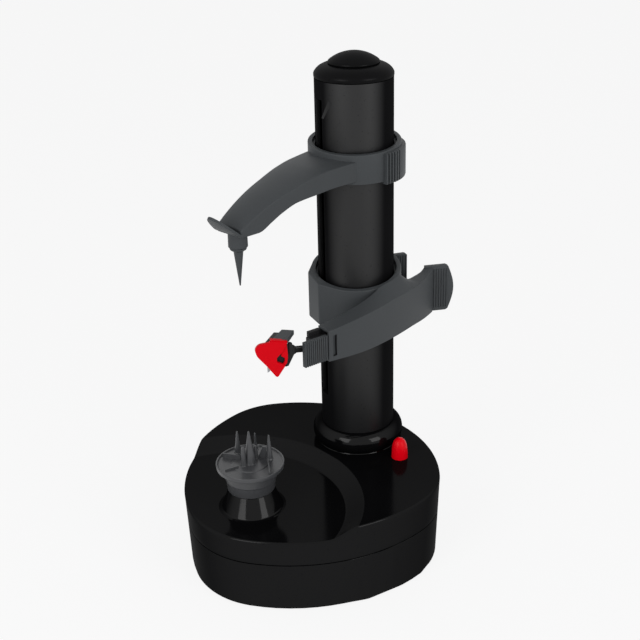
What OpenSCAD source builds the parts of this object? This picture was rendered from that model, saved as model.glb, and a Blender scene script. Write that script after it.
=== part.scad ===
// Electric potato peeler: an egg-shaped base with a driven food holder, a slotted column round a lead screw,
// a carriage with a peeling arm, and an upper arm that holds the food from above.
// Millimetres, Z up. The origin is on the table, midway between the two ends of the base.

/* [Base] */
// Half width of the base across its widest line, at the table
base_half_w = 75.17; // [70:0.01:85]
// Reach from the widest line to the narrow end
base_reach_front = 92.55; // [90:0.01:105]
// Reach from the widest line to the broad end
base_reach_back = 57.55; // [56:0.01:65]
// Radius of the narrow end
base_end_r = 48.1; // [44:0.1:56]
// Radius of the two broad shoulders
base_shoulder_r = 41.2; // [34:0.1:46]
// Outward lean of the side wall, for each unit of height
wall_lean = 0.0373; // [0.01:0.0001:0.05]
// Wall thickness of the two shells
shell_wall = 2.4; // [1.8:0.1:2.8]
// Height of the seam between tray and shell
seam_z = 32.1; // [28:0.1:36]
// Height of the low deck round the food holder
low_deck_z = 47.7; // [46:0.1:52]
// Rise from the low deck to the high deck
deck_rise = 5.8; // [4.5:0.1:8]
// Radius of the step between the decks, at its foot
step_low_r = 66.4; // [62:0.1:70]
// Run of the sloping step
step_run = 10.1; // [6:0.1:14]
// Thickness of the tray's floor
floor_t = 2.8; // [2.4:0.1:3.4]
// Height of the rubber feet below the tray
foot_h = 1.6; // [1.2:0.1:3]
// Radius of the rubber feet
foot_r = 6; // [4:0.1:7]

/* [Column] */
// Place of the column's axis along X
column_x = 49.07; // [47:0.01:50]
// Outer radius of the column
column_r = 22; // [20:0.1:23]
// Wall thickness of the column
column_wall = 2.6; // [2:0.1:4]
// Height of the column's upper end
column_top_z = 278.5; // [270:0.1:300]
// Width of the lengthwise slot
slot_w = 8; // [6:0.1:10]
// Direction of the slot, seen from the column's axis
slot_angle = 157; // [150:1:165]
// Lower end of the slot
slot_low_z = 88; // [80:0.1:100]
// Upper end of the slot
slot_high_z = 268; // [250:0.1:268]
// Radius of the bead round the column's foot
bead_r = 27.5; // [26.5:0.1:29]
// Height of the bead round the column's foot
bead_h = 13; // [8:0.1:16]

/* [Food holder] */
// Distance between the column's axis and the food's axis
food_reach = 92.4; // [91:0.1:94]
// Radius of the pedestal at the deck
pedestal_low_r = 17.9; // [16:0.1:20]
// Radius of the pedestal at its top
pedestal_high_r = 13; // [10:0.1:14]
// Height of the pedestal over the deck
pedestal_h = 11.7; // [9:0.1:16]
// Radius of the holder's hub
hub_r = 14.6; // [12:0.1:16]
// Height of the holder's hub
hub_h = 13.8; // [10:0.1:18]
// Radius of the holder's disc
disc_r = 19.4; // [17:0.1:24]
// Thickness of the holder's disc
disc_t = 1.9; // [1.5:0.1:3]
// Height of the middle spike over the disc
mid_spike_h = 19.6; // [12:0.1:24]
// Height of the outer spikes over the disc
outer_spike_h = 13.5; // [8:0.1:16]
// Height of the short prongs over the disc
prong_h = 8; // [4:0.1:10]

/* [Carriage] */
// Height of the carriage ring's lower edge
carriage_z = 138; // [136:0.1:140]
// Height of the carriage ring at its axis
carriage_h = 28.2; // [24:0.1:34]
// Outer radius of the two rings
ring_r = 26.3; // [25.5:0.1:26.9]
// Tilt of the carriage ring's upper face
carriage_tilt = 10.4; // [0:0.1:12]
// Length of the fixed squeeze tab
fixed_tab_l = 8.1; // [5:0.1:8.5]
// Height of the fixed squeeze tab
fixed_tab_h = 37; // [30:0.1:42]

/* [Peeling arm] */
// Radius of the arm's curved outer face
arm_curve_r = 215.3; // [200:0.1:240]
// Height of the arm's middle
arm_z = 145; // [144:0.1:146]
// Length of the arm from its open end to its tail, along X
arm_run = 98; // [94:0.1:100]
// Thickness of the arm
arm_t = 9.5; // [8.8:0.1:10.5]
// Angle through which the arm opens
arm_swing = 16; // [8:1:16]
// Length of the tail's squeeze tab
tail_tab_l = 17.8; // [12:0.1:18]
// Height of the tail's squeeze tab
tail_tab_h = 29; // [20:0.1:32]
// Radius of the hinge pin
hinge_pin_r = 1.5; // [1.2:0.1:2]

/* [Blade head] */
// Length of the cartridge's grip, past the arm's end
grip_l = 16; // [12:0.1:20]
// Height of the cartridge's grip
grip_h = 15; // [12:0.1:15]
// Radius of the blade's shaft
shaft_r = 1.5; // [1.2:0.1:2]
// Length of the blade
blade_l = 17; // [14:0.1:18]
// Width of the blade
blade_w = 12; // [9:0.1:13]
// Thickness of the blade
blade_t = 0.8; // [0.5:0.1:1.2]
// Width of the guard
guard_w = 17; // [14:0.1:18]
// Height of the guard
guard_h = 18.5; // [16:0.1:20]

/* [Top arm] */
// Height of the collar's lower edge
collar_z = 224; // [218:0.1:232]
// Height of the collar at its axis
collar_h = 18.7; // [16:0.1:22]
// Tilt of the collar's upper face
collar_tilt = 4.3; // [0:0.1:6]
// Half width of the arm at its tip
top_arm_tip_w = 9; // [7.5:0.1:11]
// Half width of the arm at the collar
top_arm_root_w = 18.5; // [15:0.1:20]
// Length of the spike under the arm
spike_l = 30; // [24:0.1:32]
// Radius of the spike's shoulder
spike_r = 3.6; // [3:0.1:4]

/* [Drive] */
// Size of the gear teeth: pitch diameter over number of teeth
tooth_size = 1; // [0.98:0.01:1]
// Teeth of the motor pinion
pinion_teeth = 12; // [12:1:13]
// Teeth of the cluster gear's large wheel
cluster_big_teeth = 36; // [34:1:36]
// Teeth of the cluster gear's small wheel
cluster_small_teeth = 14; // [13:1:14]
// Teeth of the holder gear
holder_teeth = 56; // [54:1:56]
// Teeth of the idler gear
idler_teeth = 30; // [29:1:30]
// Teeth of the screw gear
screw_teeth = 44; // [43:1:44]
// Width of the gears
gear_w = 4; // [3.4:0.1:4]
// Rise of the lead screw's thread in one turn
screw_pitch = 8; // [7:0.5:10]
// Outer radius of the lead screw's thread
screw_r = 5.4; // [4.8:0.1:6.5]
// Radius of the screw's and the spindle's journals
journal_r = 3; // [2.5:0.1:3.2]
// Radius of the motor's can
motor_r = 12; // [10:0.1:12.5]

/* [Power] */
// Length of one cell
cell_l = 49.3; // [44:0.1:49.5]
// Radius of one cell
cell_r = 7.1; // [6:0.1:7.2]
// Radius of the power button
button_r = 4.9; // [4:0.1:6]
// Height of the power button over the deck
button_h = 13; // [8:0.1:15]
// Travel of the power button
button_travel = 2; // [1:0.1:2.2]
// Radius of the power inlet's socket
inlet_r = 2.8; // [2.5:0.05:3]
// Depth of the power inlet's socket
inlet_depth = 9; // [7:0.1:10]

/* [Hidden] */
$fn = 64;

// Clearances and the overrun that cuts share
gap = 0.3;
run_gap = 0.05;
press_gap = 0.02;
over = 1;

// Places and heights that follow from the base
base_half_l = (base_reach_front + base_reach_back) / 2;
widest_x = base_half_l - base_reach_back;
high_deck_z = low_deck_z + deck_rise;
floor_z = foot_h + floor_t;
food_x = column_x - food_reach;
pedestal_z = low_deck_z + pedestal_h;
step_high_r = step_low_r + step_run;
step_back = 14;
step_x = food_x - step_back;
step_y = 4;

// Gear stack, hung from the low deck downwards
gear_room = 0.9;
fine_z = low_deck_z - shell_wall - gear_room - gear_w;
coarse_w = gear_w;
coarse_z = fine_z - gap - coarse_w;
chassis_t = 2.5;
chassis_top_z = coarse_z - gap;
chassis_z = chassis_top_z - chassis_t;
pinion_r = pinion_teeth * tooth_size / 2;
cluster_big_r = cluster_big_teeth * tooth_size / 2;
cluster_small_r = cluster_small_teeth * tooth_size / 2;
holder_gear_r = holder_teeth * tooth_size / 2;
idler_r = idler_teeth * tooth_size / 2;
screw_gear_r = screw_teeth * tooth_size / 2;
cluster_x = food_x + holder_gear_r + cluster_small_r;
motor_y = -(pinion_r + cluster_big_r);
cluster_to_idler = cluster_small_r + idler_r;
idler_to_screw = idler_r + screw_gear_r;
cluster_to_screw = column_x - cluster_x;
idler_run = (pow(cluster_to_idler, 2) - pow(idler_to_screw, 2) + pow(cluster_to_screw, 2))
    / (2 * cluster_to_screw);
idler_x = cluster_x + idler_run;
idler_y = -sqrt(pow(cluster_to_idler, 2) - pow(idler_run, 2));
tooth_tip_share = 0.85;
tooth_root_share = 1.2;
tooth_foot_angle_share = 0.22;
tooth_crest_angle_share = 0.1;
pin_r = 2;
pin_z = chassis_z;
motor_shaft_r = 1.5;
motor_h = 24;
motor_boss_r = 4;

// Case screws and feet, as shares of the base's half length and half width
screw_place_shares = [[-0.64, -0.452], [0.56, -0.718], [0.56, 0.718], [-0.64, 0.452]];
foot_place_shares = [[-0.746, -0.293], [0.666, -0.585], [0.666, 0.585], [-0.746, 0.293]];
boss_r = 4.5;
case_screw_r = 1.5;
case_screw_head_r = 3.2;
case_screw_head_h = 2.4;
case_screw_sink = 4;
foot_seat = 1.2;

// Battery bay
cell_pitch = 2 * cell_r + 2 * gap;
nub_r = 2.7;
nub_h = 1.2;
contact_t = 0.5;
contact_coil_h = 4;
contact_coil_r = 3;
bay_l = cell_l + nub_h + contact_coil_h + 2 * contact_t;
bay_w = 4 * cell_pitch;
bay_shift = 7.5;
bay_x = widest_x - bay_shift;
bay_y = 33;
bay_wall = 1.6;
door_t = 1.6;
door_margin_l = 3;
door_margin_w = 4;
door_l = bay_l - 2 * door_margin_l;
door_w = bay_w - 2 * door_margin_w;
door_slide = 5;
door_lap = 2;
hook_w = 9;
hook_l = 3.4;
hook_t = 1.1;
cell_z = floor_z + hook_t + 2 * gap + cell_r;
bay_top_z = cell_z + cell_r + gap;

// Power button and switch
button_back = 4.3;
button_side_share = 0.49222;
button_x = column_x - button_back;
button_y = -button_side_share * base_half_w;
button_flange_w = 1.4;
button_flange_r = button_r + button_flange_w;
button_flange_t = 1.8;
button_stem_r = 2;
switch_w = 12;
switch_h = 7;
switch_tip_h = 1.6;
switch_tip_r = 1.6;
button_coil_r = 4.2;

// Bushes and the lead screw
bush_wall = 2;
bush_r = journal_r + run_gap + bush_wall;
bush_h = 6;
thread_depth = 1.6;
thread_sides = 8;
thread_steps = 6;
bush_low_z = high_deck_z - 2 * shell_wall;
screw_low_z = bush_low_z + bush_h + gap;
screw_shoulder_h = 2;
cap_seat_h = 9;
cap_web_t = 3;
bush_high_z = column_top_z - cap_seat_h + cap_web_t - bush_h;
screw_high_z = bush_high_z - gap;

// Column cap
cap_overhang = 0.2;
cap_rim_r = column_r + cap_overhang;
cap_rim_h = 1.8;
cap_shoulder_h = 5.1;
dome_r = 14.3;
dome_rim_h = 1.3;
dome_h = 6.4;
dome_peg_r = 8;
dome_peg_h = 4;
cap_wall = 2.2;
cap_z = column_top_z + cap_rim_h;
cap_bend_in = 1.4;
cap_bend_h = 3.9;
cap_bend = [column_r - cap_bend_in, cap_bend_h];

// Carriage housing, half nut and tabs
ring_bore_r = column_r + gap;
ring_relief_w = 1.6;
ring_relief_r = column_r + ring_relief_w;
ring_relief_h = 3;
view_angle = -138.6;
housing_face = 27.6;
housing_half_w = 7.25;
housing_side = [21.8, 14.7];
housing_drop = 1;
slot_play = 0.4;
nut_w = slot_w - 2 * slot_play;
nut_h = 12;
nut_rise = 8;
nut_z = carriage_z + nut_rise;
nut_tip_r = screw_r + gap + run_gap;
nut_back_t = 1.9;
nut_back_r = column_r + nut_back_t;
nut_travel = 1.6;
nut_play = 0.2;
nut_pocket_r = nut_back_r + nut_travel + nut_play;
nut_spring_r = 2;
nut_spring_l = 7;
nut_spring_hole = 9.5;
tab_t = 3;
tail_tab_rise = 1.4;
fixed_tab_angle = -29.7;
fixed_tab_from = -17;
fixed_tab_drop = 7;
fixed_tab_z = carriage_z - fixed_tab_drop;

// Hinge of the peeling arm
hinge_back = 11.93;
hinge_side = 26.5;
hinge_x = column_x + hinge_back;
hinge_y = -hinge_side;
hinge_angle = atan2(-hinge_y, column_x - hinge_x);
hinge_reach = norm([column_x - hinge_x, hinge_y]);
lug_r = 3.6;
lug_w = 7;
lug_h = 9;
lug_z = arm_z - lug_h / 2;
hinge_coil_h = 3;
hinge_coil_r = hinge_reach - ring_r - gap;
hinge_pin_seat = 3;
swing_steps = [0, 0.5, 1];

// Plan of the peeling arm: the outer face follows a circle, and the stations are shares of its run
arm_centre_back = 21.07;
arm_side = 35.3;
arm_from_food = 33.33;
arm_centre_x = column_x - arm_centre_back;
arm_centre_y = arm_curve_r - arm_side;
arm_x = food_x + arm_from_food;
arm_station_shares = [0, 0.07, 0.18, 0.3, 0.39, 0.45, 0.55, 0.63, 0.695, 0.76, 0.83, 0.91, 1];
arm_depth = 10;
arm_ridge_shares = [[0, 0.96], [0.18, 1.06], [0.39, 1.15], [0.55, 1.22], [0.71, 1.15], [1, 1.2]];
arm_under_shares = [[0, -0.85], [0.3, -1.1], [0.52, -1.16], [0.71, -1.2], [1, -1.3]];
arm_crest_shares = [[0, 1], [0.15, 1.13], [0.3, 1.3], [0.45, 1.56], [0.55, 1.86], [0.695, 2],
    [0.83, 1.25], [1, 1.2]];
arm_width_shares = [[0, 1], [0.6, 1], [0.71, 0.95], [0.86, 0.74], [1, 0.5]];
tail_angle = -36;
tail_depth_share = 0.25;
arm_turn = asin((arm_x - arm_centre_x) / arm_curve_r);
arm_skin = 1.8;
socket_l = 17;
window_l = 5;
window_from = 1.5;
socket_h = 13;

// Cartridge and blade head, in a frame at the arm's open end whose x runs outwards along the arm
tang_l = 15;
plate_t = 2.6;
back_plate_l = 8;
back_plate_rise = 1.5;
web_from = 4;
web_to = 9;
web_h = 12;
shaft_in = 2.9;
shaft_from = 1;
shaft_rise = 2;
shaft_end_r = 2.2;
shaft_end_t = 1;
head_out = 28.9;
shaft_stop = 2.6;
shaft_to = head_out - shaft_stop;
head_size = 10;
head_h = 17;
head_plate_t = 2;
head_plate_shares = [[-0.87, -0.82], [-0.38, -0.79], [0.74, -0.07], [0.49, 0.15], [-0.3, 0.56],
    [-1.37, -0.3]];
yoke_wall_t = 2;
blade_place_shares = [0.17, -0.34];
blade_angle = 32.8;
guard_place_shares = [0.543, 0.279];
guard_angle = -25.6;
guard_drop = 0.5;
guard_t = 1.8;
guard_corner_shares = [[-0.5, 0.53], [-0.54, 0.2], [-0.54, -0.16], [-0.28, -0.47], [-0.15, -0.52],
    [-0.06, -0.46], [0.45, 0.2], [0.49, 0.37], [0.38, 0.51], [0.03, 0.56]];

// Top arm: stations are shares of its length, heights are shares of its rise
tip_overhang = 5.7;
root_back = 18;
top_arm_tip_x = food_x - tip_overhang;
top_arm_root_x = column_x - root_back;
top_arm_l = top_arm_root_x - top_arm_tip_x;
tip_drop = 10.2;
top_arm_tip_z = collar_z - tip_drop;
top_arm_rise = 19.3;
tip_thick = 3.9;
top_arm_station_shares = [0, 0.075, 0.14, 0.19, 0.25, 0.33, 0.45, 0.61, 0.79, 1];
top_arm_top_shares = [[0, 0], [0.075, 0.19], [0.19, 0.425], [0.3, 0.6], [0.42, 0.74], [0.61, 0.92],
    [0.75, 0.984], [0.96, 1], [1, 1]];
top_arm_under_shares = [[0, 0], [0.14, 0], [0.25, 0.2], [0.33, 0.36], [0.46, 0.53], [0.61, 0.58],
    [0.8, 0.63], [1, 0.63]];
crown_h = 1;
crown_share = 0.75;
lip_l = 8;
lip_rise = 9.2;
lip_t = 1.2;
grip_proud = 2.3;
grip_r = ring_r + grip_proud;
grip_zone_h = 17.4;
grip_zone_drop = 1.2;
grip_zone_from = 22;
grip_zone_to = 101;
collar_relief_h = 2;
pad_r = 24.2;
pad_half_angle = 9;
pad_play = 1;
pad_h = 9;
sleeve_r = 4.33;
sleeve_h = 7.8;
axle_r = 2.5;
axle_groove_r = 2;
clip_r = 4.2;
clip_t = 1.2;
clip_room_r = 4.6;
clip_room_h = 3;
spike_z = top_arm_tip_z - sleeve_h - gap;
spike_neck_h = 2.2;
spike_flare_h = 1;
spike_cone_r = 2.45;
thumb_valley = 0.5;

// Food holder's spikes
rim_h = 0.8;
rim_t = 1;
mid_spike_r = 3.4;
outer_spike_r = 2.2;
prong_r = 1.5;
outer_spike_places = [[77.5, 14], [-28, 11.6]];
prong_places = [[215, 12], [-75, 12.5], [150, 13]];
fin_places = [[-110, 16], [10, 16], [115, 16]];
fin_l = 5;
fin_t = 1;
fin_h = 4;

// Circuit board and power inlet
board_l = 22;
board_w = 18;
board_t = 1.6;
board_x = bay_x + bay_l / 2 + bay_wall + gap + board_l / 2;
board_y = -2;
board_post_h = 6;
board_post_r = 2;
inlet_z = 18;
inlet_body_r = 5.4;
inlet_body_l = 13;
inlet_pin_r = 0.9;
inlet_face_x = base_reach_back + widest_x;

// Arc of points round a centre, leaving out its last point
function arc(x, y, r, from, to, steps) =
    [for (i = [0 : steps - 1]) let (a = from + (to - from) * i / steps) [x + r * cos(a), y + r * sin(a)]];

// Radius of the long arc between the widest line and an end arc of radius r
function side_arc_r(reach, half, r) = (pow(reach - r, 2) + half * half - r * r) / (2 * (half - r));
function end_arc_r(reach, half, r) = (pow(half - r, 2) + reach * reach - r * r) / (2 * (reach - r));

// Outline of the base at a height, moved inwards by inset
function base_outline(z, inset) =
    let (side_r = side_arc_r(base_reach_front, base_half_w, base_end_r),
        back_r = end_arc_r(base_reach_back, base_half_w, base_shoulder_r),
        grow = wall_lean * z - inset,
        side_y = side_r - base_half_w,
        front_x = widest_x - base_reach_front + base_end_r,
        back_x = widest_x + base_reach_back - back_r,
        shoulder_y = base_half_w - base_shoulder_r,
        front_a = atan2(side_y, base_reach_front - base_end_r),
        back_a = atan2(shoulder_y, back_r - base_reach_back))
    concat(
        arc(back_x, 0, back_r + grow, -back_a, back_a, 20),
        arc(widest_x, shoulder_y, base_shoulder_r + grow, back_a, 90, 8),
        arc(widest_x, -side_y, side_r + grow, 90, 180 - front_a, 14),
        arc(front_x, 0, base_end_r + grow, 180 - front_a, 180 + front_a, 12),
        arc(widest_x, side_y, side_r + grow, 180 + front_a, 270, 14),
        arc(widest_x, -shoulder_y, base_shoulder_r + grow, 270, 360 - back_a, 8));

function at_height(outline, z) = [for (p = outline) [p[0], p[1], z]];

// Solid through a row of flat sections with equal numbers of points
module loft(sections) {
    n = len(sections[0]);
    last = len(sections) - 1;
    polyhedron(
        points = [for (s = sections) each s],
        faces = concat(
            [[for (i = [0 : n - 1]) i]],
            [[for (i = [n - 1 : -1 : 0]) last * n + i]],
            [for (k = [0 : last - 1], i = [0 : n - 1]) let (j = (i + 1) % n)
                [k * n + i, (k + 1) * n + i, (k + 1) * n + j]],
            [for (k = [0 : last - 1], i = [0 : n - 1]) let (j = (i + 1) % n)
                [k * n + i, (k + 1) * n + j, k * n + j]]),
        convexity = 6);
}

module base_block(low, high, inset) {
    loft([at_height(base_outline(low, inset), low), at_height(base_outline(high, inset), high)]);
}

// Everything above a plane that slopes down toward a direction
module above_slope(z, tilt, toward) {
    size = 2 * column_r;
    translate([0, 0, z]) rotate([0, 0, toward]) rotate([0, tilt, 0])
        translate([-size, -size, 0]) cube([2 * size, 2 * size, size]);
}

// Round recess of radius r that starts at such a plane
module slope_bore(z, tilt, toward, r) {
    intersection() {
        above_slope(z, tilt, toward);
        cylinder(r = r, h = z + 2 * column_r);
    }
}

module tube(r, bore, h) {
    difference() {
        cylinder(r = r, h = h);
        translate([0, 0, -over]) cylinder(r = bore, h = h + 2 * over);
    }
}

// Sector of a ring, from one direction to another
module ring_sector(r, bore, h, from, to) {
    middle = (from + to) / 2;
    half = (to - from) / 2;
    far = r / cos(half) + over;
    intersection() {
        tube(r, bore, h);
        rotate([0, 0, middle]) linear_extrude(height = h)
            polygon([[0, 0], [far * cos(half), -far * sin(half)], [far * cos(half), far * sin(half)]]);
    }
}

module at_column() {
    translate([column_x, 0, 0]) children();
}

module at_food() {
    translate([food_x, 0, 0]) children();
}

module at_slot() {
    at_column() rotate([0, 0, slot_angle]) children();
}

module at_share(place) {
    translate([place[0] * base_half_l, place[1] * base_half_w, 0]) children();
}

// Base shells

module deck_cut(inset) {
    translate([step_x, step_y, low_deck_z - inset]) {
        cylinder(r1 = step_low_r - inset, r2 = step_high_r - inset, h = deck_rise, $fn = 128);
        translate([0, 0, deck_rise]) cylinder(r = step_high_r - inset, h = over, $fn = 128);
    }
}

module pedestal() {
    at_food() rotate_extrude() polygon([[0, low_deck_z - shell_wall], [pedestal_low_r, low_deck_z - shell_wall],
        [pedestal_low_r, low_deck_z], [pedestal_high_r, pedestal_z], [0, pedestal_z]]);
}

module foot_bead() {
    steps = 8;
    start = -60;
    inner = column_r + press_gap;
    bulge = bead_r - inner;
    half_h = bead_h / (1 - sin(start));
    at_column() rotate_extrude() polygon(concat(
        [[inner, high_deck_z - shell_wall], [inner + bulge * cos(start), high_deck_z - shell_wall]],
        [for (i = [0 : steps]) let (t = start + (90 - start) * i / steps)
            [inner + bulge * cos(t), high_deck_z + half_h * (sin(t) - sin(start))]]));
}

module base_upper() {
    low = seam_z + gap;
    color("#141416") difference() {
        union() {
            difference() {
                base_block(low, high_deck_z, 0);
                deck_cut(0);
                difference() {
                    base_block(low - over, high_deck_z - shell_wall, shell_wall);
                    deck_cut(shell_wall);
                }
            }
            pedestal();
            foot_bead();
            at_column() translate([0, 0, high_deck_z - 2 * shell_wall])
                cylinder(r = column_r + shell_wall, h = shell_wall);
            for (place = screw_place_shares) at_share(place) translate([0, 0, low])
                cylinder(r = boss_r, h = (place[0] < 0 ? low_deck_z : high_deck_z) - shell_wall - low + over);
        }
        at_food() translate([0, 0, low]) cylinder(r = bush_r + press_gap, h = pedestal_z);
        at_column() {
            translate([0, 0, high_deck_z - shell_wall])
                cylinder(r = column_r + press_gap, h = shell_wall + bead_h);
            translate([0, 0, low]) cylinder(r = bush_r + press_gap, h = high_deck_z);
        }
        translate([button_x, button_y, low]) cylinder(r = button_r + gap / 2, h = high_deck_z);
        for (place = screw_place_shares) at_share(place) translate([0, 0, low - over])
            cylinder(r = case_screw_r + press_gap, h = low_deck_z - 2 * shell_wall - low + over);
    }
}

module door_recess(slide, side) {
    translate([bay_x - door_l / 2 - side, bay_y - door_w / 2 - side, foot_h - over])
        cube([door_l + 2 * side, door_w + 2 * side + slide, door_t + over + side]);
}

module base_lower() {
    tongue_h = 3;
    color("#141416") difference() {
        union() {
            difference() {
                base_block(foot_h, seam_z, 0);
                base_block(floor_z, seam_z + over, shell_wall);
            }
            // Inner lip that the upper shell slips over
            difference() {
                base_block(seam_z - tongue_h, seam_z + tongue_h, shell_wall + gap);
                base_block(seam_z - tongue_h - over, seam_z + tongue_h + over, 2 * shell_wall);
                for (place = screw_place_shares) at_share(place) translate([0, 0, seam_z])
                    cylinder(r = boss_r + gap, h = 2 * tongue_h);
            }
            difference() {
                base_block(seam_z - tongue_h, seam_z, shell_wall / 2);
                base_block(seam_z - tongue_h - over, seam_z + over, 2 * shell_wall);
            }
            for (place = screw_place_shares) at_share(place) translate([0, 0, foot_h])
                cylinder(r = boss_r, h = seam_z - foot_h);
            // Walls of the battery bay
            translate([bay_x - bay_l / 2 - bay_wall, bay_y - bay_w / 2 - bay_wall, foot_h + floor_t / 2])
                cube([bay_l + 2 * bay_wall, bay_w + 2 * bay_wall, bay_top_z - foot_h - floor_t / 2]);
            chassis_posts();
            board_posts();
            inlet_cradle();
        }
        translate([bay_x - bay_l / 2, bay_y - bay_w / 2, floor_z])
            cube([bay_l, bay_w, bay_top_z]);
        // Opening over the door, and the recess that the door slides in
        translate([bay_x - door_l / 2 + door_lap, bay_y - door_w / 2 + door_lap, foot_h])
            cube([door_l - 2 * door_lap, door_w - 2 * door_lap, 2 * floor_t]);
        door_recess(door_slide + gap, gap);
        for (place = screw_place_shares) at_share(place) {
            translate([0, 0, foot_h]) cylinder(r = case_screw_r + gap / 2, h = seam_z);
            translate([0, 0, foot_h - over])
                cylinder(r = case_screw_head_r + gap, h = case_screw_sink + case_screw_head_h + over);
        }
        for (place = foot_place_shares) at_share(place) translate([0, 0, foot_h - over])
            cylinder(r = foot_r + press_gap, h = foot_seat + over);
        translate([inlet_face_x, 0, inlet_z]) rotate([0, 90, 0])
            translate([0, 0, -inlet_body_l]) cylinder(r = inlet_body_r + press_gap, h = 2 * inlet_body_l);
    }
}

module chassis_posts() {
    post_r = 3.5;
    post_in = 9;
    post_back = 3;
    post_side = 15;
    translate([button_x, button_y, foot_h + floor_t / 2])
        cylinder(r = post_r, h = chassis_z - foot_h - floor_t / 2);
    for (place = [[food_x - post_in, post_in], [column_x - post_back, post_side]], side = [-1, 1])
        translate([place[0], side * place[1], foot_h + floor_t / 2])
            cylinder(r = post_r, h = chassis_z - foot_h - floor_t / 2);
}

module board_posts() {
    for (side = [-1, 1])
        translate([board_x + side * board_l / 3, board_y - side * board_w / 3, foot_h + floor_t / 2])
        cylinder(r = board_post_r, h = board_post_h + floor_t / 2);
}

module inlet_cradle() {
    cradle_l = 4;
    translate([inlet_face_x - inlet_body_l + gap, -inlet_body_r - shell_wall, foot_h + floor_t / 2])
        cube([cradle_l, 2 * (inlet_body_r + shell_wall), inlet_z - foot_h - floor_t / 2]);
}

module foot(i) {
    color("#2a2a2c") at_share(foot_place_shares[i]) cylinder(r = foot_r, h = foot_h + foot_seat);
}

module case_screw(i) {
    head_z = foot_h + case_screw_sink;
    slot_share = 0.5;
    color("silver") at_share(screw_place_shares[i]) translate([0, 0, head_z]) difference() {
        union() {
            cylinder(r = case_screw_head_r, h = case_screw_head_h);
            cylinder(r = case_screw_r, h = low_deck_z - 3 * shell_wall - head_z);
        }
        translate([0, 0, -over])
            cylinder(r = case_screw_r, h = over + case_screw_head_h * slot_share, $fn = 6);
    }
}

// Battery bay

module battery_door() {
    neck_l = 1.2;
    hook_z = floor_z + gap;
    color("#141416") {
        translate([bay_x - door_l / 2, bay_y - door_w / 2, foot_h]) cube([door_l, door_w, door_t]);
        for (side = [-1, 1]) translate([bay_x + side * door_l / 3 - hook_w / 2, 0, 0]) {
            translate([0, bay_y - door_w / 2 + door_lap + gap, foot_h + door_t / 2])
                cube([hook_w, neck_l, hook_z + hook_t - foot_h - door_t / 2]);
            translate([0, bay_y - door_w / 2 + door_lap + gap + neck_l - hook_l, hook_z])
                cube([hook_w, hook_l, hook_t]);
        }
    }
}

module cell(i) {
    y = bay_y + (i - 1.5) * cell_pitch;
    turned = i % 2;
    coil_at = contact_t + contact_coil_h;
    start = bay_x - bay_l / 2 + (turned == 1 ? contact_t + nub_h : coil_at);
    rim = 0.5;
    color("#b58a3c") translate([start, y, cell_z]) rotate([0, 90, 0]) {
        cylinder(r = cell_r, h = cell_l);
        translate([0, 0, turned == 1 ? -nub_h : cell_l - rim]) cylinder(r = nub_r, h = nub_h + rim);
    }
}

// Contact plate at one end of the bay, with a coil for each cell that stands the other way round
module contact_set(x, turned, inward) {
    plate_margin = 1.5;
    translate([x, bay_y - bay_w / 2 + plate_margin, floor_z + plate_margin])
        cube([contact_t, bay_w - 2 * plate_margin, 2 * cell_r - plate_margin]);
    for (i = [turned, turned + 2]) translate([x + (inward > 0 ? contact_t / 2 : contact_t / 2 - contact_coil_h
        - contact_t / 2 + gap / 2), bay_y + (i - 1.5) * cell_pitch, cell_z])
        rotate([0, 90, 0]) tube(contact_coil_r, contact_coil_r / 2, contact_coil_h + contact_t / 2 - gap / 2);
}

module contact_front() {
    color("silver") contact_set(bay_x - bay_l / 2, 0, 1);
}

module contact_back() {
    color("silver") contact_set(bay_x + bay_l / 2 - contact_t, 1, -1);
}

// Chassis, motor and gears

module chassis() {
    food_pad_r = 16;
    screw_pad_r = 18;
    color("#6a6d70") translate([0, 0, chassis_z]) difference() {
        union() {
            at_food() cylinder(r = food_pad_r, h = chassis_t);
            at_column() cylinder(r = screw_pad_r, h = chassis_t);
            translate([cluster_x, motor_y, 0]) cylinder(r = motor_r + chassis_t, h = chassis_t);
            translate([food_x, -food_pad_r, 0]) cube([column_x - food_x, 2 * food_pad_r, chassis_t]);
            translate([cluster_x - food_pad_r, motor_y, 0]) cube([2 * food_pad_r, -motor_y, chassis_t]);
        }
        for (x = [food_x, column_x]) translate([x, 0, -over])
            cylinder(r = journal_r + run_gap, h = chassis_t + 2 * over);
        translate([cluster_x, 0, -over]) cylinder(r = pin_r + press_gap, h = chassis_t + 2 * over);
        translate([idler_x, idler_y, -over]) cylinder(r = pin_r + press_gap, h = chassis_t + 2 * over);
        translate([cluster_x, motor_y, -over]) cylinder(r = motor_boss_r + press_gap, h = chassis_t + 2 * over);
    }
}

module motor() {
    boss_h = 1.8;
    cap_h = 3;
    lip = 0.8;
    color("#8d9196") translate([cluster_x, motor_y, chassis_z]) difference() {
        union() {
            translate([0, 0, -motor_h]) cylinder(r = motor_r, h = motor_h);
            translate([0, 0, -motor_h - cap_h]) cylinder(r = motor_r - lip, h = cap_h + over);
            translate([0, 0, -over]) cylinder(r = motor_boss_r, h = boss_h + over);
        }
        translate([0, 0, -motor_h / 2]) cylinder(r = motor_shaft_r + run_gap, h = motor_h);
    }
}

module motor_shaft() {
    color("silver") translate([cluster_x, motor_y, chassis_z - motor_h / 2 + gap])
        cylinder(r = motor_shaft_r, h = coarse_z + coarse_w + gap - chassis_z + motor_h / 2);
}

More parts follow.
